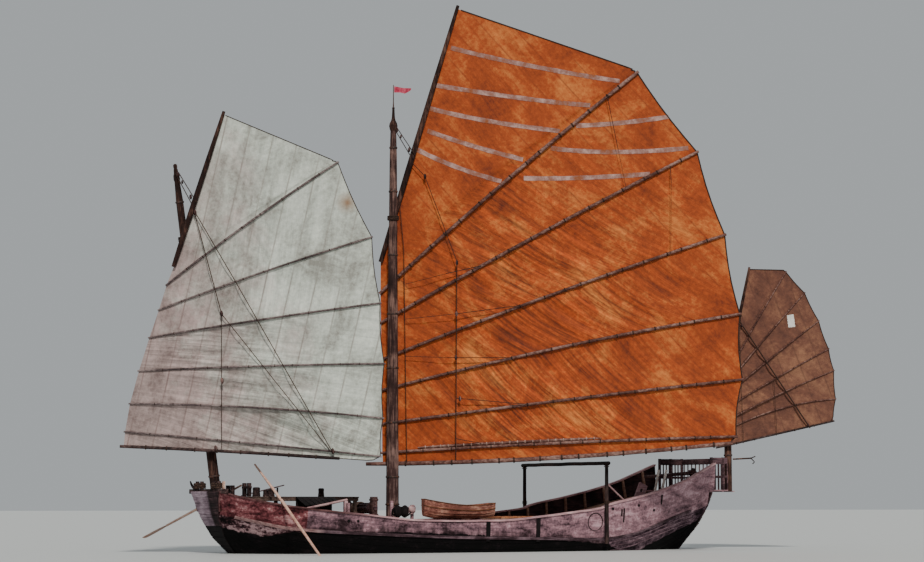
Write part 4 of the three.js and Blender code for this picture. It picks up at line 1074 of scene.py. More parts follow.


# the boards on the port side of the bow, from 0.4 m off the middle line out, are painted near black: a painted shadow;
# the rest are salt grey
BOW_BOARDS = wood("bow_boards_grey_with_painted_shadow", "0E0708", "271719", "5A4044", along="Y", roughness=0.85, bump=0.5,
                  patches=1.4, zone=("Y", 0.22, 0.4, ("44333C", "84707B", "B6A3AD")))
STERN_BOARDS = wood("tarred_stern_boards", "171113", "3E2D31", "75595A", along="Y", bump=0.5, patches=1.4)
dress(end_boards(BOW_ROWS, 1, BOW_COUNT, 2.0, range(6, BOW_COUNT)), "bow_boards", BOW_BOARDS, SHIP,
      ["bow_planks"], crease=30)
dress(end_boards(BOW_ROWS, 1, BOW_COUNT, 2.0, range(6)), "lower_bow_boards", DAMP_BLACK, crease=30)
dress([tube([(11.31, side * 1.03, 1.62), (11.42, side * 1.2, 2.32)], 0.032, 2) for side in SIDES], "bow_corner_posts",
      RAIL_WOOD, crease=50)

# %% [markdown]
# The rudder is deep and pierced with diamond holes, which make it lighter to turn. Its solid
# already has them, so the solid stays and takes a tarred finish, and iron straps go round it.
# Its stock turns between pairs of cheeks on the stern, under iron collars.

# %% Stern brackets and rudder
RUDDER_RAKE, STOCK_AT, STOCK_RADIUS = 0.28, (-10.95, 1.1), 0.11
BRACKETS, STRAPS = (1.35, 2.05), (-0.35, -1.05, -1.75)


def stock_point(z, aft=0.0):
    return Vector((STOCK_AT[0] - RUDDER_RAKE * (z - STOCK_AT[1]) - aft, 0, z))


stern = end_boards(STERN_ROWS, -1, STERN_COUNT, 5.0, range(STERN_COUNT))
stock_up = (stock_point(1) - stock_point(0)).normalized()
for z in BRACKETS:
    x = stock_point(z).x
    stern += [timber((x - 0.19, s * 0.13 - 0.04, z - 0.07), (x + 0.3, s * 0.13 + 0.04, z + 0.07)) for s in SIDES]
    collar = ring(STOCK_RADIUS + 0.03, 0.022, axis_frame(stock_point(z + 0.095), stock_up), (24, 8))
    dress(collar, f"rudder_collar_{int(z * 100)}", IRON)
dress(stern, "stern_boards", STERN_BOARDS, SHIP, ["stern_planks"], crease=30)
for part, oiled in (("rudder", TARRED_WOOD), ("keel_timber", TARRED_WOOD), ("tiller", OILED_BEAM)):
    refinish(bpy.data.objects[part], oiled)
straps = [timber((stock_point(z, 0.95).x, side * 0.044, z - 0.03), (stock_point(z, -0.2).x, side * 0.056, z + 0.03),
                 0.004) for z in STRAPS for side in (1, -1)]
dress(straps, "rudder_straps", IRON, "rudder_gear", crease=30)

# %% [markdown]
# The masts stand free, with no stays, as a junk's do. Each is one tree trunk, worked round
# by hand, so it is never quite even, with iron hoops where the wood has split. The tables
# give radii and hoops by their distance up the mast.

# %% Masts
MASTS = {
    "main": dict(radii=[(0.4, 0.28), (1.5, 0.265), (10.6, 0.195), (16.2, 0.15), (17.1, 0.12)],
                 hoops=(1.9, 3.0, 5.2, 7.4, 9.6, 12.0, 14.6, 16.4)),
    "fore": dict(radii=[(-0.9, 0.205), (2.0, 0.195), (11.6, 0.145), (12.9, 0.08)], hoops=(0.9, 3.4, 6.0, 9.4, 11.6)),
    "mizzen": dict(radii=[(2.45, 0.165), (8.0, 0.14), (11.0, 0.11)], hoops=(4.0, 6.4, 9.0)),
}
# the main mast is painted a little paler below four to six and a half metres up: a painted light that lifts the shade
# on its lower part
MAST_WOOD_PAINTED_LIGHT_LOW = wood("mast_wood_painted_light_low", "120A0A", "392624", "88695F", along="Z", roughness=0.85, patches=0.7,
                 zone=("Z", 4.0, 6.5, ("170D0D", "432E2C", "957A73")))


def mast_point(name, h):
    foot, rake = SAILS[name]["foot_of_mast"], SAILS[name]["rake"]
    return Vector(foot) + h * Vector((math.sin(rake), 0, math.cos(rake)))


for name, mast in MASTS.items():
    heights = spread(mast["radii"][0][0], mast["radii"][-1][0], 34)
    uneven = SAILS[name]["foot_of_mast"][0]
    widths = [read(mast["radii"], h)[0] * (0.985 + 0.03 * noise.noise(Vector((h * 1.3, uneven, 0)))) for h in heights]
    dress(tube([mast_point(name, h) for h in heights], 1.0, 9, widths), f"{name}_mast_trunk",
          MAST_WOOD_PAINTED_LIGHT_LOW if name == "main" else TARRED_SPAR, SHIP, [f"{name}_mast"], crease=50)
    up = mast_point(name, 1) - mast_point(name, 0)
    flat_band = Matrix.Diagonal((1, 1, 1.6, 1))
    dress([ring(read(mast["radii"], h)[0] + 0.004, 0.026, axis_frame(mast_point(name, h), up) @ flat_band, (28, 6))
           for h in mast["hoops"]], f"{name}_mast_hoops", IRON, crease=60)

# %% [markdown]
# The stern gallery is a balcony of light timbers hung over the stern, from which the mizzen
# is worked. Every board is its own bevelled timber, a little uneven, and they are joined by
# what they belong to: the floor, the rail, and the posts.

# %% Stern gallery
GALLERY_X, GALLERY_HALF, GALLERY_LOW, GALLERY_TOP = (-12.4, -10.45), 1.99, 2.4303, 2.5203
RUDDER_SLOT, MIZZEN_SLOT = (-11.62, -11.06, 0.32), (0.4, 1.74, 0.18)
RAIL_TOP, RAIL_BOARD, RAIL_POST = 3.9, 0.28, 0.11
MAST_CORNER = -12.0                # abaft this the mizzen mast stands in the way on the port side
GALLERY_BOARD = wood("weathered_gallery_board", "24181B", "5E454B", "8A6B70")

boards = []
for k, (y0, y1) in enumerate(boards_between(-GALLERY_HALF, GALLERY_HALF, 13, 0.006)):
    stretches = [GALLERY_X]
    if -RUDDER_SLOT[2] < y0 and y1 < RUDDER_SLOT[2]:
        stretches = [(GALLERY_X[0], RUDDER_SLOT[0]), (RUDDER_SLOT[1], GALLERY_X[1])]
    elif y0 < MIZZEN_SLOT[1] + MIZZEN_SLOT[2] and y1 > MIZZEN_SLOT[1] - MIZZEN_SLOT[2]:
        stretches = [(GALLERY_X[0] + MIZZEN_SLOT[0], GALLERY_X[1])]
    top = GALLERY_TOP - 0.004 + 0.004 * math.sin(k * 2.1)
    boards += [timber((x0 + 0.01, y0, GALLERY_LOW + 0.035), (x1 - 0.01, y1, top), 0.008, 0.003, k)
               for x0, x1 in stretches]
boards += [upright(x, 0, (0.05, GALLERY_HALF - 0.02), GALLERY_LOW + 0.001, GALLERY_LOW + 0.042, 0.008)
           for x in (-12.3, -11.74, -10.95, -10.55)]
dress(boards, "gallery_boards", PINK_BOARD, SHIP, ["gallery_floor"], crease=30)

aft, fore = GALLERY_X[0], STERN_RUN["head"][0] - 0.0005
low, under = GALLERY_TOP + 0.001, RAIL_TOP - RAIL_BOARD
posts, planks, near_boards = [], [], []
for side in SIDES:
    y = side * (GALLERY_HALF - RAIL_POST / 2)
    start = aft + (0.42 if side > 0 else 0.02)
    top_board = timber((start, y - 0.035, under), (fore - 0.01, y + 0.035, RAIL_TOP - 0.012), 0.012, 0.005, 3 + side)
    (near_boards if side > 0 else planks).append(top_board)
    planks.append(timber((start, y - 0.028, low + 0.5), (fore - 0.01, y + 0.028, low + 0.6), 0.01, 0.005, 5 + side))
    clear = [x for x in (fore - RAIL_POST / 2, (fore + aft) / 2, aft + RAIL_POST / 2) if side < 0 or x > MAST_CORNER]
    posts += [upright(x, y, (0.05, 0.05), low, RAIL_TOP, 0.012, 0.004, x) for x in clear]
    posts += [upright(x, y, (0.025, 0.02), low, under + 0.02, 0.008, 0.004, k)
              for k, x in enumerate(spread(aft + 0.1, fore - 0.1, 8)) if 0 < k < 7 and (side < 0 or x > MAST_CORNER)]
posts += [upright(aft + 0.055, y, (0.02, 0.025), low, under + 0.02, 0.008, 0.004, y) for y in spread(-1.75, 1.4, 12)]
planks += [timber((aft + 0.015, 0.03 - GALLERY_HALF, under + 0.01), (aft + 0.088, 1.55, RAIL_TOP - 0.02),
                  0.012, 0.005, 9),
           timber((aft + 0.028, 0.03 - GALLERY_HALF, low + 0.51), (aft + 0.082, 1.55, low + 0.59), 0.01, 0.004, 10)]
dress(posts, "gallery_posts", DARK_TIMBER, crease=30)
dress(planks, "gallery_rails", DARK_TIMBER, SHIP, ["gallery_rail"], crease=30)
dress(near_boards, "gallery_near_boards", GALLERY_BOARD, crease=30)

# %% [markdown]
# The gallows is a plain goalpost across the deck. When the sail comes down, its poles lie on
# the beam. The posts stand outside the rail and are lashed to it.

# %% Gallows
GALLOWS_X, GALLOWS_FOOT, BEAM_Z, BEAM_OVERHANG = -4.975, 0.3, 3.56, 0.18
POST_RADIUS, BEAM_RADIUS = 0.09, 0.075
GALLOWS_WOOD = wood("dark_gallows_pole", "080505", "1E1312", "4E3A36", along="Z")
post_y = straight("rail_y", GALLOWS_X) + CAP_OVERHANG + GAP + POST_RADIUS
poles = [tube([(GALLOWS_X, side * post_y + 0.01 * noise.noise(Vector((z, side * 3, 0))), z)
               for z in spread(GALLOWS_FOOT, BEAM_Z, 12)], POST_RADIUS, 4, [1.0 - 0.02 * k for k in range(12)])
         for side in SIDES]
poles.append(tube([(GALLOWS_X, y, BEAM_Z + 0.02 + 0.02 * noise.noise(Vector((y, 5, 0))))
                   for y in spread(-post_y - BEAM_OVERHANG, post_y + BEAM_OVERHANG, 14)], BEAM_RADIUS, 4))
dress(poles, "gallows_poles", GALLOWS_WOOD, SHIP, ["gallows"], crease=50)
wraps = [ring(0.098, 0.018, shift(GALLOWS_X, side * post_y, z))
         for side in SIDES for z in (BEAM_Z - 0.12, BEAM_Z - 0.06, 1.93, 1.98, 2.03)]
dress(wraps, "gallows_lashings", TARRED_ROPE, crease=60)

# %% [markdown]
# Forward of the mast a raised deck on posts gives room to work the fore sail and the anchor.
# Its boards lie across three beams, each a little up or down.

# %% Raised foredeck
FOREDECK_X, FOREDECK_HALF, FOREDECK_TOP, FOREDECK_THICK = (5.4, 10.4), 1.25, 2.2, 0.12
FOREDECK_WOOD = wood("stained_foredeck_pine", "1F1513", "43332E", "6E5950", along="Y")
beam_low = FOREDECK_TOP - FOREDECK_THICK
pieces = [timber((x0, -FOREDECK_HALF, FOREDECK_TOP - 0.05),
                 (x1, FOREDECK_HALF, FOREDECK_TOP - 0.001 + 0.003 * math.sin(k * 1.9)), 0.008, 0.003, k)
          for k, (x0, x1) in enumerate(boards_between(*FOREDECK_X, 22, 0.005))]
pieces += [timber((FOREDECK_X[0] + 0.02, y - 0.06, beam_low - 0.05),
                  (FOREDECK_X[1] - 0.02, y + 0.06, FOREDECK_TOP - 0.045))
           for y in (0.08 - FOREDECK_HALF, 0.0, FOREDECK_HALF - 0.08)]
pieces += [upright(x, side * (FOREDECK_HALF - 0.13), (0.065, 0.065), straight("deck_z", x) - 0.03, beam_low, 0.014)
           for x in (5.52, 7.9, 10.28) for side in SIDES]
dress(pieces, "foredeck_boards", FOREDECK_WOOD, SHIP, ["fore_platform"], crease=30)

# %% [markdown]
# Behind the foredeck stands the windlass, which hauls the anchor: a barrel between two heavy
# bitts, turned with bars, with wooden whelps nailed round it so the rope bites. The barrel
# is one turned shape along its axle, and the rope is nine rings side by side.

# %% Windlass
AXLE_X, AXLE_Z = 4.7, 1.75
BITT_Y, BITT_HALF, BITT_TOP = 1.15, 0.12, 2.2
WHELPS = 8
LYING = Matrix.Rotation(math.pi / 2, 4, "X")       # turns a ring's axle across the ship
windlass_deck = straight("deck_z", AXLE_X)
bitts = []
for side in SIDES:
    y = side * BITT_Y
    bitts.append(upright(AXLE_X, y, (BITT_HALF, BITT_HALF), windlass_deck - 0.03, BITT_TOP, 0.02, 0.004, side))
    bitts.append(upright(AXLE_X, y, (0.14, 0.14), BITT_TOP - 0.16, BITT_TOP - 0.08, 0.015))
    knee = timber((AXLE_X - 0.62, y - 0.05, windlass_deck), (AXLE_X - BITT_HALF, y + 0.05, 1.55), 0.015)
    for v in knee.data.vertices:
        if v.co.x < AXLE_X - 0.3:
            v.co.z = min(v.co.z, 1.12)
    bitts.append(knee)
bitts.append(timber((AXLE_X + 0.07, -BITT_Y, 1.155), (AXLE_X + 0.18, BITT_Y, 1.325)))
dress(bitts, "windlass_bitt_posts", OILED_BEAM, SHIP, ["windlass_bitts"], crease=30)

inner, outer = BITT_Y - BITT_HALF - 0.02, BITT_Y + BITT_HALF + 0.06
half_profile = [(0, 0.165), (inner - 0.3, 0.17), (inner - 0.06, 0.25), (inner, 0.25), (inner + 0.005, 0.088),
                (outer, 0.088)]
profile = [(-y, radius) for y, radius in half_profile[:0:-1]] + half_profile
barrel = [tube([(AXLE_X, y, AXLE_Z) for y, _ in profile], 1.0, 8, [radius for _, radius in profile])]
for k in range(WHELPS):
    whelp = timber((-0.028, 0.1 - inner, 0.155), (0.028, inner - 0.1, 0.212), 0.01)
    whelp.data.transform(shift(AXLE_X, 0, AXLE_Z) @ Matrix.Rotation(2 * math.pi * k / WHELPS, 4, "Y"))
    barrel.append(whelp)
dress(barrel, "windlass_drum", DARK_TIMBER, "windlass", ["windlass_barrel"])
turns = [ring(0.232, 0.026, shift(AXLE_X, -0.35 + k * 0.052, AXLE_Z) @ LYING, (28, 8)) for k in range(9)]
dress(turns, "windlass_rope_turns", PALE_ROPE, "windlass", crease=60)

# %% [markdown]
# The main hatch is covered with loose boards on a low wall that keeps the hold dry. Each
# board has a batten near both ends to lift it by.

# %% Main hatch
HATCH_X, HATCH_HALF, HATCH_WALL = (-4.4, -0.9), 1.6, 0.09
HATCH_LOW, LIDS_LOW, HATCH_TOP = 0.76, 1.34, 1.4
HATCH_WOOD = wood("oiled_hatch_boards", "5A3320", "9A6040", "C48A62", along="Y")
inside, wall_top = HATCH_HALF - HATCH_WALL, LIDS_LOW - 0.001
walls = [timber((HATCH_X[0], y, HATCH_LOW), (HATCH_X[1], y + HATCH_WALL, wall_top), 0.012, 0.004, side)
         for side, y in ((-1, -HATCH_HALF), (1, inside))]
walls += [timber((x, -inside, HATCH_LOW), (x + HATCH_WALL, inside, wall_top), 0.012, 0.004, x)
          for x in (HATCH_X[0], HATCH_X[1] - HATCH_WALL)]
dress(walls, "hatch_walls", DECK_WOOD, SHIP, ["hatch_coaming"], crease=30)
lids = []
for k, (x0, x1) in enumerate(boards_between(*HATCH_X, 9, 0.006)):
    top = HATCH_TOP - 0.002 + 0.003 * math.sin(k)
    lids.append(timber((x0, -HATCH_HALF, LIDS_LOW + 0.001), (x1, HATCH_HALF, top), 0.012, 0.003, k))
    lids += [timber((x0 + 0.1, y - 0.02, HATCH_TOP - 0.006), (x1 - 0.1, y + 0.02, HATCH_TOP + 0.018), 0.006)
             for y in (-1.1, 1.1)]
dress(lids, "hatch_lids", HATCH_WOOD, SHIP, ["hatch_boards"], crease=30)

# %% [markdown]
# The ship's boat is clinker built: each thin strake laps over the one below, so its side
# shows as steps. It has thwarts to sit on and a thick rubbing edge. One table gives its width
# and how far its bottom rises along its length, another the curve of its side.

# %% Ship's boat
BOAT_WOOD = wood("varnished_boat_wood", "44251E", "855145", "C0937F", roughness=0.5)
BOAT_EDGE = wood("dark_boat_edge", "2E1A12", "5F3924", "936040")
BOAT = dict(x=(-0.4, 2.8), y=1.75, half=0.6, keel_z=1.33, sheer=0.56, rise=0.16, plank=0.026)
BOAT_SECTIONS = [(0, 0.45, 0.5), (0.1, 0.66, 0.18), (0.2, 0.82, 0), (0.35, 0.95, 0), (0.5, 1, 0), (0.65, 0.92, 0),
                 (0.8, 0.75, 0.02), (0.9, 0.52, 0.25), (1, 0.22, 0.7)]
BOAT_CURVE = [(0.0, 0.3, 0.0), (0.25, 0.62, 0.1), (0.5, 0.84, 0.34), (0.75, 0.95, 0.64), (1.0, 1.0, 1.0)]
BOAT_STRAKES, BOAT_SHARES = 6, spread(0, 1, 19)


def boat_section(share):
    """Half the boat's width, and its bottom and rail, at a share of its length."""
    width, lift = read(BOAT_SECTIONS, share)
    rail = BOAT["sheer"] + BOAT["rise"] * ((2 * share - 1) ** 2 + share - 0.5)
    return BOAT["half"] * width, BOAT["keel_z"] + BOAT["rise"] * lift, BOAT["keel_z"] + rail


def boat_side(share, u):
    """A point of the side: u runs from the keel, 0, to the rail, 1."""
    half, low, high = boat_section(share)
    out, up = read(BOAT_CURVE, u)
    return half * out, mix(low, high, up)


def boat_ring(share, side, *places):
    """Places in one slice of the boat, given as distance from its middle line and height."""
    return [(mix(*BOAT["x"], share), BOAT["y"] + side * y, z) for y, z in places]


shell = []
for side in SIDES:
    for k in range(BOAT_STRAKES):
        lap = 0.0 if k == BOAT_STRAKES - 1 else 0.012
        rings = []
        for share in BOAT_SHARES:
            y0, z0 = boat_side(share, k / BOAT_STRAKES)
            y1, z1 = boat_side(share, min(1.0, (k + 1.12) / BOAT_STRAKES))
            rings.append(boat_ring(share, side, (y0, z0), (y1 - lap, z1), (y1 - lap - BOAT["plank"], z1),
                                   (y0 - BOAT["plank"], z0 + 0.01)))
        shell.append(ring_loft(rings))
shell.append(ring_loft([boat_ring(share, 1, (-y, z), (y, z), (y, z + 0.03), (-y, z + 0.03))
                        for share in BOAT_SHARES for y, z in [boat_side(share, 0.02)]]))
for share in (0.004, 0.996):
    half_ring = [boat_side(share, u) for u in (0, 0.25, 0.5, 0.75, 1)]
    outline = boat_ring(share, 1, *half_ring, *((-y, z) for y, z in half_ring[::-1]))
    shell.append(ring_loft([[(x + off, y, z) for x, y, z in outline] for off in (-0.013, 0.013)]))
for x in (0.3, 0.8, 1.5, 2.2):
    half = boat_section((x + 0.1 - BOAT["x"][0]) / (BOAT["x"][1] - BOAT["x"][0]))[0] * 0.86
    shell.append(upright(x + 0.1, BOAT["y"], (0.1, half), BOAT["keel_z"] + 0.33, BOAT["keel_z"] + 0.37, 0.01))
dress(shell, "boat_shell", BOAT_WOOD, SHIP, ["ship_boat"], crease=25)
edges = [tube([boat_ring(share, side, (y - 0.004, z + lift))[0]
               for share in BOAT_SHARES for y, z in [boat_side(share, u)]], 0.024, 1)
         for side in SIDES for u, lift in ((1.0, -0.02), (0.72, 0.0))]
dress(edges, "boat_rubbing_edge", BOAT_EDGE, crease=50)
refinish(bpy.data.objects["boat_chocks"], DARK_TIMBER)

# %% [markdown]
# Two long sweeps, oars worked standing, lie over the side on iron pins. Each is a light pole
# that flattens into a blade at its outer end.

# %% Sweeps
SWEEPS = {"port": dict(pin=(9.45, 2.6, 2.06), inboard=(9.45, 0.2, 3.45), outboard=(9.45, 7.5, -0.99)),
          "starboard": dict(pin=(9.9, -2.38, 2.13), inboard=(9.79, -0.3, 2.64), outboard=(10.22, -9.0, 0.51))}
BLADE_FROM, BLADE_MIDDLE, BLADE_FLATTENS = 0.68, 0.8, 0.78
for name, sweep in SWEEPS.items():
    pin, inboard, outboard = (Vector(sweep[key]) for key in ("pin", "inboard", "outboard"))
    line = [inboard, inboard.lerp(pin, 0.5), pin] + [pin.lerp(outboard, BLADE_FROM * t) for t in (0.3, 0.6, 1.0)]
    loom = tube(line, 0.058, 3, [0.62, 0.85, 1.0, 0.95, 0.88, 0.78])
    blade = tube([pin.lerp(outboard, t) for t in (0.64, 0.7, 0.76, 0.86, 0.96, 1.0)], 0.118, 3,
                 [0.35, 0.6, 0.9, 1.0, 1.0, 0.85])
    thin = Vector((1, 0, 0)).cross((outboard - pin).normalized()).normalized()
    for v in blade.data.vertices:
        v.co -= thin * (v.co - pin.lerp(outboard, BLADE_MIDDLE)).dot(thin) * BLADE_FLATTENS
    dress([loom, blade], f"{name}_sweep_oar", BARE_OAR, f"{name}_sweep", [f"sweep_{name}"], crease=50)
    thole = tube([pin + Vector((0, 0, z)) for z in (-0.19, 0.0, 0.11)], 0.022, 2)
    dress(thole, f"{name}_sweep_pin", IRON, crease=50)

# %% [markdown]
# Pale bands of stronger canvas are sewn across the upper panels of the main sail, and an old
# patch on the mizzen. They are thin strips laid on the cloth's own surface, so they follow
# every crease. Their places are in the sail's frame: metres aft of the mast, and up.

# %% Bands and patch sewn on the cloth
BAND_WIDE, BAND_THICK, BAND_STEP, BAND_LIFT = 0.185, 0.003, 0.05, 0.007
BANDS = [
    [(2.35, 20.64), (5.61, 19.9), (9.3, 19.25)], [(1.75, 19.07), (5.6, 18.51), (8.08, 18.25)],
    [(1.46, 18.12), (3.95, 17.59), (6.83, 17.18)], [(1.38, 17.19), (3.3, 16.55), (5.31, 16.0)],
    [(0.94, 16.42), (2.6, 15.68), (4.42, 15.1)], [(7.49, 17.4), (9.4, 17.53), (11.3, 17.77)],
    [(6.45, 16.47), (9.12, 16.32), (12.1, 16.47)], [(5.34, 15.23), (7.9, 15.26), (10.52, 15.4)]]
PATCH, PATCH_WIDE = [(2.7, 10.02), (2.74, 9.76), (2.77, 9.49)], 0.29


def cloth_tree(grid):
    return BVHTree.FromPolygons([p for line in grid for p in line], grid_faces(len(grid), len(grid[0])))


def curve_through(points, share):
    """A smooth line through three places; a share of 0.5 is at the middle one."""
    weights = ((1 - share) * (1 - 2 * share), 4 * share * (1 - share), share * (2 * share - 1))
    return Vector([sum(w * p[n] for w, p in zip(weights, points)) for n in (0, 1)])


def on_cloth(tree, place, lift, otherwise):
    hit = tree.ray_cast(Vector((place.x, -5, place.y)), Vector((0, 1, 0)))[0]
    return Vector((place.x, (hit.y if hit else otherwise) - lift, place.y))


def sewn_strip(name, points, wide):
    """A closed strip on the near face of a sail's cloth."""
    sail, tree = SAILS[name], cloth_tree(GRIDS[name])
    at = sail_frame(sail)
    length = (Vector(points[2]) - Vector(points[0])).length
    rings = []
    for share in spread(0, 1, max(4, int(length / BAND_STEP))):
        here = curve_through(points, share)
        run = (curve_through(points, share + 0.01) - curve_through(points, share - 0.01)).normalized()
        across = Vector((-run.y, run.x)) * wide / 2 * (1 + 0.06 * math.sin(31 * share))
        front = [on_cloth(tree, here + across * k, BAND_LIFT + BAND_THICK, sail["side"]) for k in spread(-1, 1, 6)]
        rings.append([at @ p for p in front + [p + Vector((0, BAND_THICK, 0)) for p in front[::-1]]])
    return ring_loft(rings)


def band_cloth(name, faded, middle, light):
    """Pale sewn cloth, patchy where tan has soaked in from the sail."""
    made, tree, shader = new_material(name, 0.95, Specular_IOR_Level=0.1)
    place = node(tree, "TexCoord").outputs["Object"]
    worn = node(tree, "TexNoise", {"Vector": place, "Scale": 1.6, "Detail": 7, "Roughness": 0.75})
    colour = node(tree, "ValToRGB", {"Fac": worn}, stops=[(0.36, faded), (0.48, middle), (0.62, light)])
    finish(tree, shader, colour, worn, 0.3, 0.01)
    return made


BAND_CLOTH = band_cloth("pale_band_canvas", "8A5034", "8E6A62", "B8968C")
PATCH_CLOTH = band_cloth("new_patch_canvas", "B8B0A8", "D8D6D0", "EFEDE8")
FADED_RED = band_cloth("faded_red_bunting", "5E1626", "A8344A", "D0687A")
dress([sewn_strip("main", points, BAND_WIDE) for points in BANDS], "main_sail_bands", BAND_CLOTH,
      "main_sail_rig", crease=60)
dress(sewn_strip("mizzen", PATCH, PATCH_WIDE), "mizzen_sail_patch", PATCH_CLOTH, "mizzen_sail_rig",
      crease=60)

# %% [markdown]
# Each sail is one sheet of canvas, held stretched between its yard and its boom. Its size is
# read off the cloth as it was made, and its area off the lines that bound its panels.


def flat_area(sail):
    """The area between a sail's lines, with what their rise adds."""
    rows = sail_rows(sail)
    area = 0.0
    for low, high in zip(rows, rows[1:]):
        corners = [low[0], low[1], high[1], high[0]]
        area += abs(sum(a[0] * b[1] - b[0] * a[1] for a, b in zip(corners, corners[1:] + corners[:1]))) / 2
        area += (high[2] - low[2]) * 2 / 3 * (low[1][0] - low[0][0])
    return area


for name, sail in SAILS.items():
    xs, zs = ([p[axis] for line in GRIDS[name] for p in line] for axis in (0, 2))
    wide, tall, area = max(xs) - min(xs), max(zs) - min(zs), flat_area(sail)
    print(name, "cut", round(wide, 2), "by", round(tall, 2), "m, area", round(area, 1))

# %% [markdown]
# The running ropes lie over the near face of the sails: a tackle lifts each yard from its
# mast head, and topping and sheet lines gather the battens. They are taut, so each one is a
# straight round rope between its two ends, and it moves with the sail. A block is a wooden
# shell with a rope strap round it.

# %% Ropes and blocks on the sails
def block(tall, place):
    """An egg-shaped wooden shell with its strap."""
    upended = Matrix.Rotation(math.pi / 2, 4, "Z") @ LYING @ Matrix.Diagonal((1, 0.74, 1.06, 1))
    strap = ring(0.5 * tall, 0.07 * tall, upended)
    clear_selection()
    bpy.ops.mesh.primitive_uv_sphere_add(segments=16, ring_count=10, radius=0.5)
    shell = bpy.context.object
    shell.data.transform(Matrix.Diagonal((0.52 * tall, 0.7 * tall, tall, 1)))
    made = join([strap, shell])
    made.data.transform(place)
    return made


# the first number is how far before the cloth the ropes run; each line is (radius, [(aft, up), ...])
ROPES = {
    "main": (0.19, [
        (0.02, [(2.6, 11.72), (2.56, 4.6), (2.56, 3.69)]), (0.018, [(2.15, 11.27), (3.6, 11.6)]),
        (0.016, [(2.58, 9.63), (5.25, 9.98)]), (0.016, [(2.22, 7.84), (4.85, 7.84)]),
        (0.016, [(2.56, 6.19), (5.5, 5.94)]), (0.016, [(2.56, 4.55), (3.6, 4.36)]),
        (0.011, [(0.5, 10.84), (2.15, 11.27)]), (0.011, [(0.5, 9.41), (2.58, 9.63)]),
        (0.011, [(0.5, 7.9), (2.22, 7.84)]),
        (0.016, [(0.22, 14.55), (0.43, 12.26), (0.57, 3.6)]), (0.016, [(0.71, 15.89), (1.29, 15.27), (2.6, 11.77)]),
        (0.014, [(8.77, 18.59), (9.21, 16.37)]), (0.008, [(9.21, 16.37), (9.52, 14.8)]),
        (0.016, [(11.34, 15.7), (11.37, 15.0)]), (0.009, [(11.37, 15.0), (11.33, 12.15)])]),
    "fore": (0.13, [
        (0.019, [(0.56, 11.21), (1.13, 7.08)]), (0.014, [(1.13, 7.08), (0.49, 1.95)]),
        (0.017, [(1.13, 7.08), (4.65, 1.3)]), (0.019, [(0.56, 11.21), (1.79, 8.32), (4.72, 1.22)])]),
    "mizzen": (0.1, [
        (0.03, [(0.5, 9.75), (3.48, 5.15)]), (0.01, [(0.5, 9.75), (0.62, 4.5)]),
        (0.01, [(1.95, 7.24), (2.05, 4.9)])]),
}
BLOCKS = {"main": (0.22, [(2.6, 11.72), (2.58, 9.62), (2.56, 7.84), (2.72, 6.17), (1.29, 15.27), (0.8, 16.05)]),
          "fore": (0.24, [(1.13, 7.1), (0.83, 4.53), (0.6, 11.1), (4.72, 1.3), (0.26, 1.98)]),
          "mizzen": (0.16, [(0.6, 9.55), (3.4, 5.28)])}
# where each yard's tackle hangs by the mast head, where it takes hold, and how far before the yard
TACKLES = {"main": dict(mast=(0.1, 0.14, 17.22), yard=(0.78, 16.14), before=0.03),
           "fore": dict(mast=(0.06, -0.14, 12.72), yard=(0.62, 11.46), before=0.02),
           "mizzen": dict(mast=(0.06, -0.14, 10.86), yard=(0.5, 9.93), before=0.02)}
TACKLE_BLOCKS = ((0.05, 0.24), (0.3, 0.15), (0.8, 0.2))       # share of the way down, height of the block
for name, sail in SAILS.items():
    at, rig = sail_frame(sail), f"{name}_sail_rig"
    (before, lines), (tall, places) = ROPES[name], BLOCKS[name]
    y = sail["side"] - before
    dress([tube([at @ Vector((x, y, z)) for x, z in points], radius, 1) for radius, points in lines],
          f"{name}_running_ropes", TARRED_ROPE, rig, crease=60)
    dress([block(tall, at @ shift(x, y, z)) for x, z in places], f"{name}_blocks", OILED_SPAR, rig, crease=60)
    tackle = TACKLES[name]
    (x, z), y = tackle["yard"], sail["side"] - 2 * sail["yard"][0] - tackle["before"]
    top, low = Vector(tackle["mast"]), Vector((x, y, z))
    falls = [tube([at @ (top + apart), at @ (low + apart * 1.6)], 0.018, 1)
             for apart in (Vector((-0.065, 0, 0)), Vector((0.065, 0, 0)))]
    dress(falls, f"{name}_yard_tackle", TARRED_ROPE, rig, crease=60)
    dress([block(tall, at @ shift(top.lerp(low, share))) for share, tall in TACKLE_BLOCKS], f"{name}_tackle_blocks",
          OILED_SPAR, rig, crease=60)

# %% [markdown]
# Above the main mast a thick turned head carries a thin pole. The pole is drawn as one turned
# shape along its line, like the heads of the other two masts. The tables give the height up
# the mast and the radius there.

# %% Mast heads
HEADS = {
    "main": [(17.1, 0.122), (17.18, 0.15), (17.3, 0.175), (17.42, 0.15), (17.52, 0.095), (17.62, 0.07),
             (17.75, 0.058), (18.0, 0.048), (18.05, 0.06), (18.09, 0.028), (18.3, 0.02), (19.0, 0.016)],
    "fore": [(12.4, 0.105), (12.5, 0.128), (12.64, 0.122), (12.78, 0.072), (12.9, 0.056), (12.96, 0.08),
             (13.06, 0.078), (13.1, 0.04)],
    "mizzen": [(11.005, 0.105), (11.04, 0.12), (11.1, 0.12), (11.15, 0.09), (11.19, 0.03)],
}
for name, steps in HEADS.items():
    head = tube([mast_point(name, h) for h, _ in steps], 1.0, 5, [radius for _, radius in steps])
    dress(head, f"{name}_mast_head", TARRED_SPAR, SHIP, ["flagstaff"] if name == "main" else [], crease=40)

# %% [markdown]
# A small red pennant shows the wind from the pole. It is light cloth with the wind behind
# it, so its wave grows towards its free end, and its lower corner is frayed away.

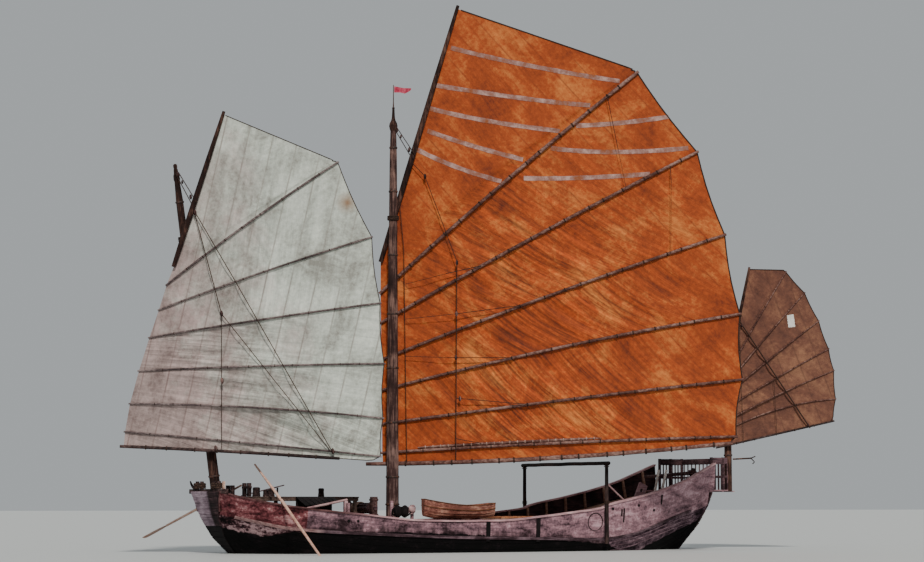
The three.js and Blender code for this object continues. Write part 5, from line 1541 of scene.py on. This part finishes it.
# %% Pennant
PENNANT = dict(x=3.205, length=0.78, z=(18.69, 18.95), wave=0.05, frayed=0.26)
PENNANT_ROWS, PENNANT_COLUMNS = spread(0, 1, 11), spread(0, 1, 41)
points = []
for v in PENNANT_ROWS:
    for u in PENNANT_COLUMNS:
        along = u * (PENNANT["length"] - PENNANT["frayed"] * (1 - v) ** 2)
        lift = 0.05 * math.sin(2.2 * u) - 0.03 * u * (1 - v)
        swing = PENNANT["wave"] * u * math.sin(9.5 * along + 1.4 * v)
        points.append((PENNANT["x"] - along, swing, mix(*PENNANT["z"], v) + lift * (0.5 - v) * 1.2))
flag = mesh_from("pennant_cloth", points, grid_faces(len(PENNANT_ROWS), len(PENNANT_COLUMNS)))
face_outwards(apply_modifier(flag, "SOLIDIFY", thickness=0.002), 0.00005)
dress(flag, "pennant_cloth", FADED_RED, SHIP, ["pennant"], crease=60)

# %% [markdown]
# A heavy beam lies across the top of the bow. It carries the anchor ropes, so it is dark with
# tar and has upright bitts wound with rope, and a horn at its end keeps the rope from sliding
# off. Beam and bitts are sawn timbers; the rope turns are rings drawn round each bitt.

# %% Bow beam and bitts
BEAM_LOW, BEAM_TOP = (11.245, -1.7, 2.312), (11.395, 1.7, 2.491)
BITT_X, BITT_YS, BITT_TALL = 11.32, (-1.05, -0.62, 0.55, 0.98), 0.3
ROPE_TURNS, TURN_RADIUS, ROPE_RADIUS = 8, 0.135, 0.03
bitts_from = BEAM_TOP[2]
posts = [timber(BEAM_LOW, BEAM_TOP, 0.018)]
posts += [upright(BITT_X, y, (0.06, 0.06), bitts_from, bitts_from + BITT_TALL, 0.014, 0.004, y) for y in BITT_YS]
posts.append(tube([(11.32, -1.28, 2.5), (11.33, -1.45, 2.57), (11.34, -1.6, 2.68), (11.35, -1.68, 2.8)], 0.055, 3,
                  [1.1, 1.0, 0.8, 0.45]))
dress(posts, "bow_beam_timbers", BOW_TAR, SHIP, ["bow_beam"])
wraps = [ring(TURN_RADIUS * (1 - 0.1 * (k * 7 % 3)), ROPE_RADIUS,
              shift(BITT_X, y, bitts_from + 0.01 + ROPE_RADIUS * (1 + 0.8 * k)))
         for y in BITT_YS for k in range(ROPE_TURNS)]
dress(wraps, "bow_bitt_ropes", TARRED_ROPE, crease=60)
dress(timber((11.22, 1.1, 2.3), (11.245, 1.34, 2.78), 0.006), "bow_pale_board", BARE_OAR)

# %% [markdown]
# The foredeck is where the ropes are worked. It has pairs of bitts with a bar across, low
# round bollards that ropes are made fast to, and a boathook resting in a crutch.

# %% Gear on the foredeck
BOLLARDS = [(9.62, 0.72, 0.15, 0.36), (9.34, 0.98, 0.11, 0.26), (8.78, 0.3, 0.13, 0.3), (6.2, -0.5, 0.12, 0.34)]
BOLLARD_TURNED = [(0, 1.08), (0.45, 0.94), (0.62, 0.9), (0.8, 0.98), (0.95, 0.92), (1.0, 0.55)]
foot = FOREDECK_TOP + 0.002
gear = [upright(10.05, y, (0.07, 0.07), foot, foot + 0.52, 0.014, 0.004, y) for y in (0.55, 0.98)]
gear.append(timber((10.0, 0.4, foot + 0.3), (10.1, 1.13, foot + 0.4)))
gear += [upright(10.05, y, (0.07, 0.07), foot, foot + 0.44, 0.014, 0.004, y) for y in (-0.98, -0.55)]
gear.append(upright(7.89, -1.0, (0.03, 0.03), foot, foot + 0.36, 0.008))
dress(gear, "foredeck_bitts", BOW_TAR)
hook = tube([(9.45, -1.06, foot + 0.03), (7.89, -1.0, foot + 0.39), (7.6, -0.99, foot + 0.457)], 0.026, 2,
            [0.8, 1.0, 0.9])
dress(hook, "boathook_pole", BLEACHED, crease=50)
widths = [wide for _, wide in BOLLARD_TURNED]
dress([tube([(x, y, foot + tall * share) for share, _ in BOLLARD_TURNED], radius, 4, widths)
       for x, y, radius, tall in BOLLARDS], "foredeck_bollards", BOW_TAR, crease=45)

# %% [markdown]
# Beside the foredeck a sloping lid of tarred boards runs from the platform's edge down to a
# spar. Upright boards close its inner side, and a post holds up the spar.

# %% Sloping lid beside the foredeck
LID_X, LID_BOARDS, LID_INNER, LID_OUTER, LID_THICK = (6.62, 8.2), 7, (1.262, 2.17), (2.12, 1.99), 0.03
LID_DROPS, CLOSING_BOARDS, BOARD_EDGES = 0.18, 9, (0.02, 0.97)
lid = []
for k in range(LID_BOARDS):
    ends = [mix(*LID_X, (k + edge) / LID_BOARDS) for edge in BOARD_EDGES]
    (y0, z0), (y1, z1) = LID_INNER, LID_OUTER
    z1 -= LID_DROPS * (ends[0] - LID_X[0]) / (LID_X[1] - LID_X[0])
    lid.append(ring_loft([[(x, y0, z0), (x, y1, z1), (x, y1, z1 + LID_THICK), (x, y0, z0 + LID_THICK)] for x in ends]))
for k in range(CLOSING_BOARDS):
    x0, x1 = (mix(*LID_X, (k + edge) / CLOSING_BOARDS) for edge in BOARD_EDGES)
    lid.append(timber((x0, 1.27, straight("deck_z", x0) + 0.02), (x1, 1.3, 2.15), 0.006, 0.003, k))
dress(lid, "sloping_lid_boards", DAMP_BLACK, crease=30)
spar = tube([(8.42, 2.55, 1.735), (7.4, 2.24, 1.89), (6.38, 2.1, 2.08)], 0.05, 3, [0.8, 1, 0.9])
dress(spar, "lid_spar", BLEACHED, crease=50)
dress([timber((6.37, 2.03, 1.05), (6.51, 2.17, 2.03), 0.012, 0.004, 2),
       timber((6.4, 2.2, 1.06), (6.48, 2.4, 1.95), 0.012, 0.004, 3)], "lid_post", PINK_BOARD)

# %% [markdown]
# At the main mast's foot a pin rail takes the halyards. Its big dark wooden blocks hang just
# below the bar, with a paler one beside them. They are egg-shaped shells with a rope strap.

# %% Pin rail at the main mast
PIN_RAIL_POSTS, PIN_RAIL_Y, PIN_RAIL_Z = ((3.36, 0.22), (4.28, 0.38)), 1.86, 1.66      # x, and how far above the bar
POST_HALF = 0.06


def rail_block(x, up, tall, lean):
    place = shift(x, PIN_RAIL_Y + 0.17, PIN_RAIL_Z + up)
    return block(tall, place @ Matrix.Rotation(lean, 4, "Y") @ Matrix.Rotation(math.pi / 2, 4, "Z"))


dress([upright(x, PIN_RAIL_Y, (POST_HALF, 0.05), 0.86, PIN_RAIL_Z + above, 0.012, 0.003, x)
       for x, above in PIN_RAIL_POSTS], "pin_rail_posts", PINK_BOARD)
bar_ends = (PIN_RAIL_POSTS[0][0] + POST_HALF + 0.002, PIN_RAIL_POSTS[1][0] - POST_HALF - 0.002)
dress(timber((bar_ends[0], PIN_RAIL_Y - 0.05, PIN_RAIL_Z - 0.08), (bar_ends[1], PIN_RAIL_Y + 0.05, PIN_RAIL_Z), 0.01),
      "pin_rail_bar", DARK_TIMBER)
dress([rail_block(4.1, -0.04, 0.5, 0.12), rail_block(3.78, -0.04, 0.5, -0.06)], "pin_rail_blocks", DAMP_BLACK,
      crease=60)
dress(rail_block(3.46, 0.04, 0.36, 0.9), "pale_rail_block", BLEACHED, crease=60)

# %% [markdown]
# Small things fixed on the ship's side: rubbing posts that take the wear at a quay, scuppers
# that drain the deck, with dark drips below them, and the round chafe mark of an old fender.
# Strips and marks take their distance out from the hull's own lines, so they follow the side.

# %% Fittings on the side
RUB_POSTS = [(0.62, 0.43, 1.22), (-1.72, 0.4, 1.36)]                       # x, from, to
DRIPS = [(-5.98, 1.16, 1.74), (-5.86, 1.42, 1.7), (-8.02, 1.9, 2.3)]
SCUPPERS = [(6.75, 1.27), (6.36, 1.26), (-5.38, 1.72), (-6.75, 1.86), (-7.62, 1.66)]
FENDER_MARK = dict(x=-4.53, z=1.18, radius=0.36, rope=0.022, flattened=0.35)


def side_strip(side, x, low, high, wide, thick):
    """A strip up the ship's side that follows its curve."""
    rings = []
    for z in spread(low, high, 8):
        fore, aft = ((end, half_breadth(end, z)) for end in (x - wide / 2, x + wide / 2))
        rings.append([(fore[0], side * (fore[1] - 0.02), z), (aft[0], side * (aft[1] - 0.02), z),
                      (aft[0], side * (aft[1] + thick), z), (fore[0], side * (fore[1] + thick), z)])
    return ring_loft(rings)


def cylinder(radius, depth, vertices, place):
    clear_selection()
    bpy.ops.mesh.primitive_cylinder_add(vertices=vertices, radius=radius, depth=depth)
    made = bpy.context.object
    made.data.transform(place)
    return made


dress([side_strip(side, *post, 0.17, 0.055) for post in RUB_POSTS for side in SIDES], "rubbing_posts", DAMP_BLACK,
      crease=30)
marks = [side_strip(side, *drip, 0.07, 0.01) for drip in DRIPS for side in SIDES]
marks += [cylinder(0.055, 0.04, 20, shift(x, side * (half_breadth(x, z) - 0.004), z) @ LYING)
          for x, z in SCUPPERS for side in SIDES]
dress(marks, "scuppers_and_drips", DAMP_BLACK, crease=30)
mark = ring(FENDER_MARK["radius"], FENDER_MARK["rope"], shift(FENDER_MARK["x"], 0, FENDER_MARK["z"]) @ LYING, (40, 6))
for v in mark.data.vertices:
    v.co.y = half_breadth(v.co.x, v.co.z) + FENDER_MARK["flattened"] * v.co.y
dress(mark, "old_fender_mark", TARRED_WOOD, crease=60)

# %% [markdown]
# The after deck holds what steering needs: two pale props for the tiller's tackle, a worn
# wooden leading block that leans by the bulwark, a spare pole, and a crutch that sticks out
# over the stern. The block is a thick board with a round hole cut in it.

# %% Gear on the after deck
PROPS = [((-8.95, 0.78, 2.06), (-9.24, 0.78, 3.36)), ((-9.25, 0.84, 2.14), (-9.6, 0.84, 3.36))]
CRUTCH = [(0.034, (-12.36, 1.86, 3.83), (-13.3, 1.9, 3.88)), (0.024, (-13.28, 1.9, 3.88), (-13.5, 1.91, 3.96)),
          (0.024, (-13.28, 1.9, 3.88), (-13.46, 1.91, 3.72), (-13.36, 1.91, 3.64))]
dress([tube(ends, 0.055, 3) for ends in PROPS], "white_tackle_props", PATCH_CLOTH, crease=50)
plate = timber((-0.22, -0.045, 0.0), (0.22, 0.045, 1.04), 0.03)
drill = cylinder(0.085, 0.3, 28, shift(0, 0, 0.74) @ LYING)
apply_modifier(plate, "BOOLEAN", object=drill, solver="EXACT")
bpy.data.objects.remove(drill)
plate.data.transform(shift(-7.28, 1.88, 1.8) @ Matrix.Rotation(math.radians(-24), 4, "Y"))
dress(plate, "leading_block", PINK_BOARD, crease=30)
dress(tube([(-6.95, 2.42, 1.58), (-5.1, 2.95, 2.8)], 0.035, 2), "spare_pole", BLEACHED, crease=50)
dress([tube(points, radius, 2) for radius, *points in CRUTCH], "stern_crutch", TARRED_SPAR, crease=50)
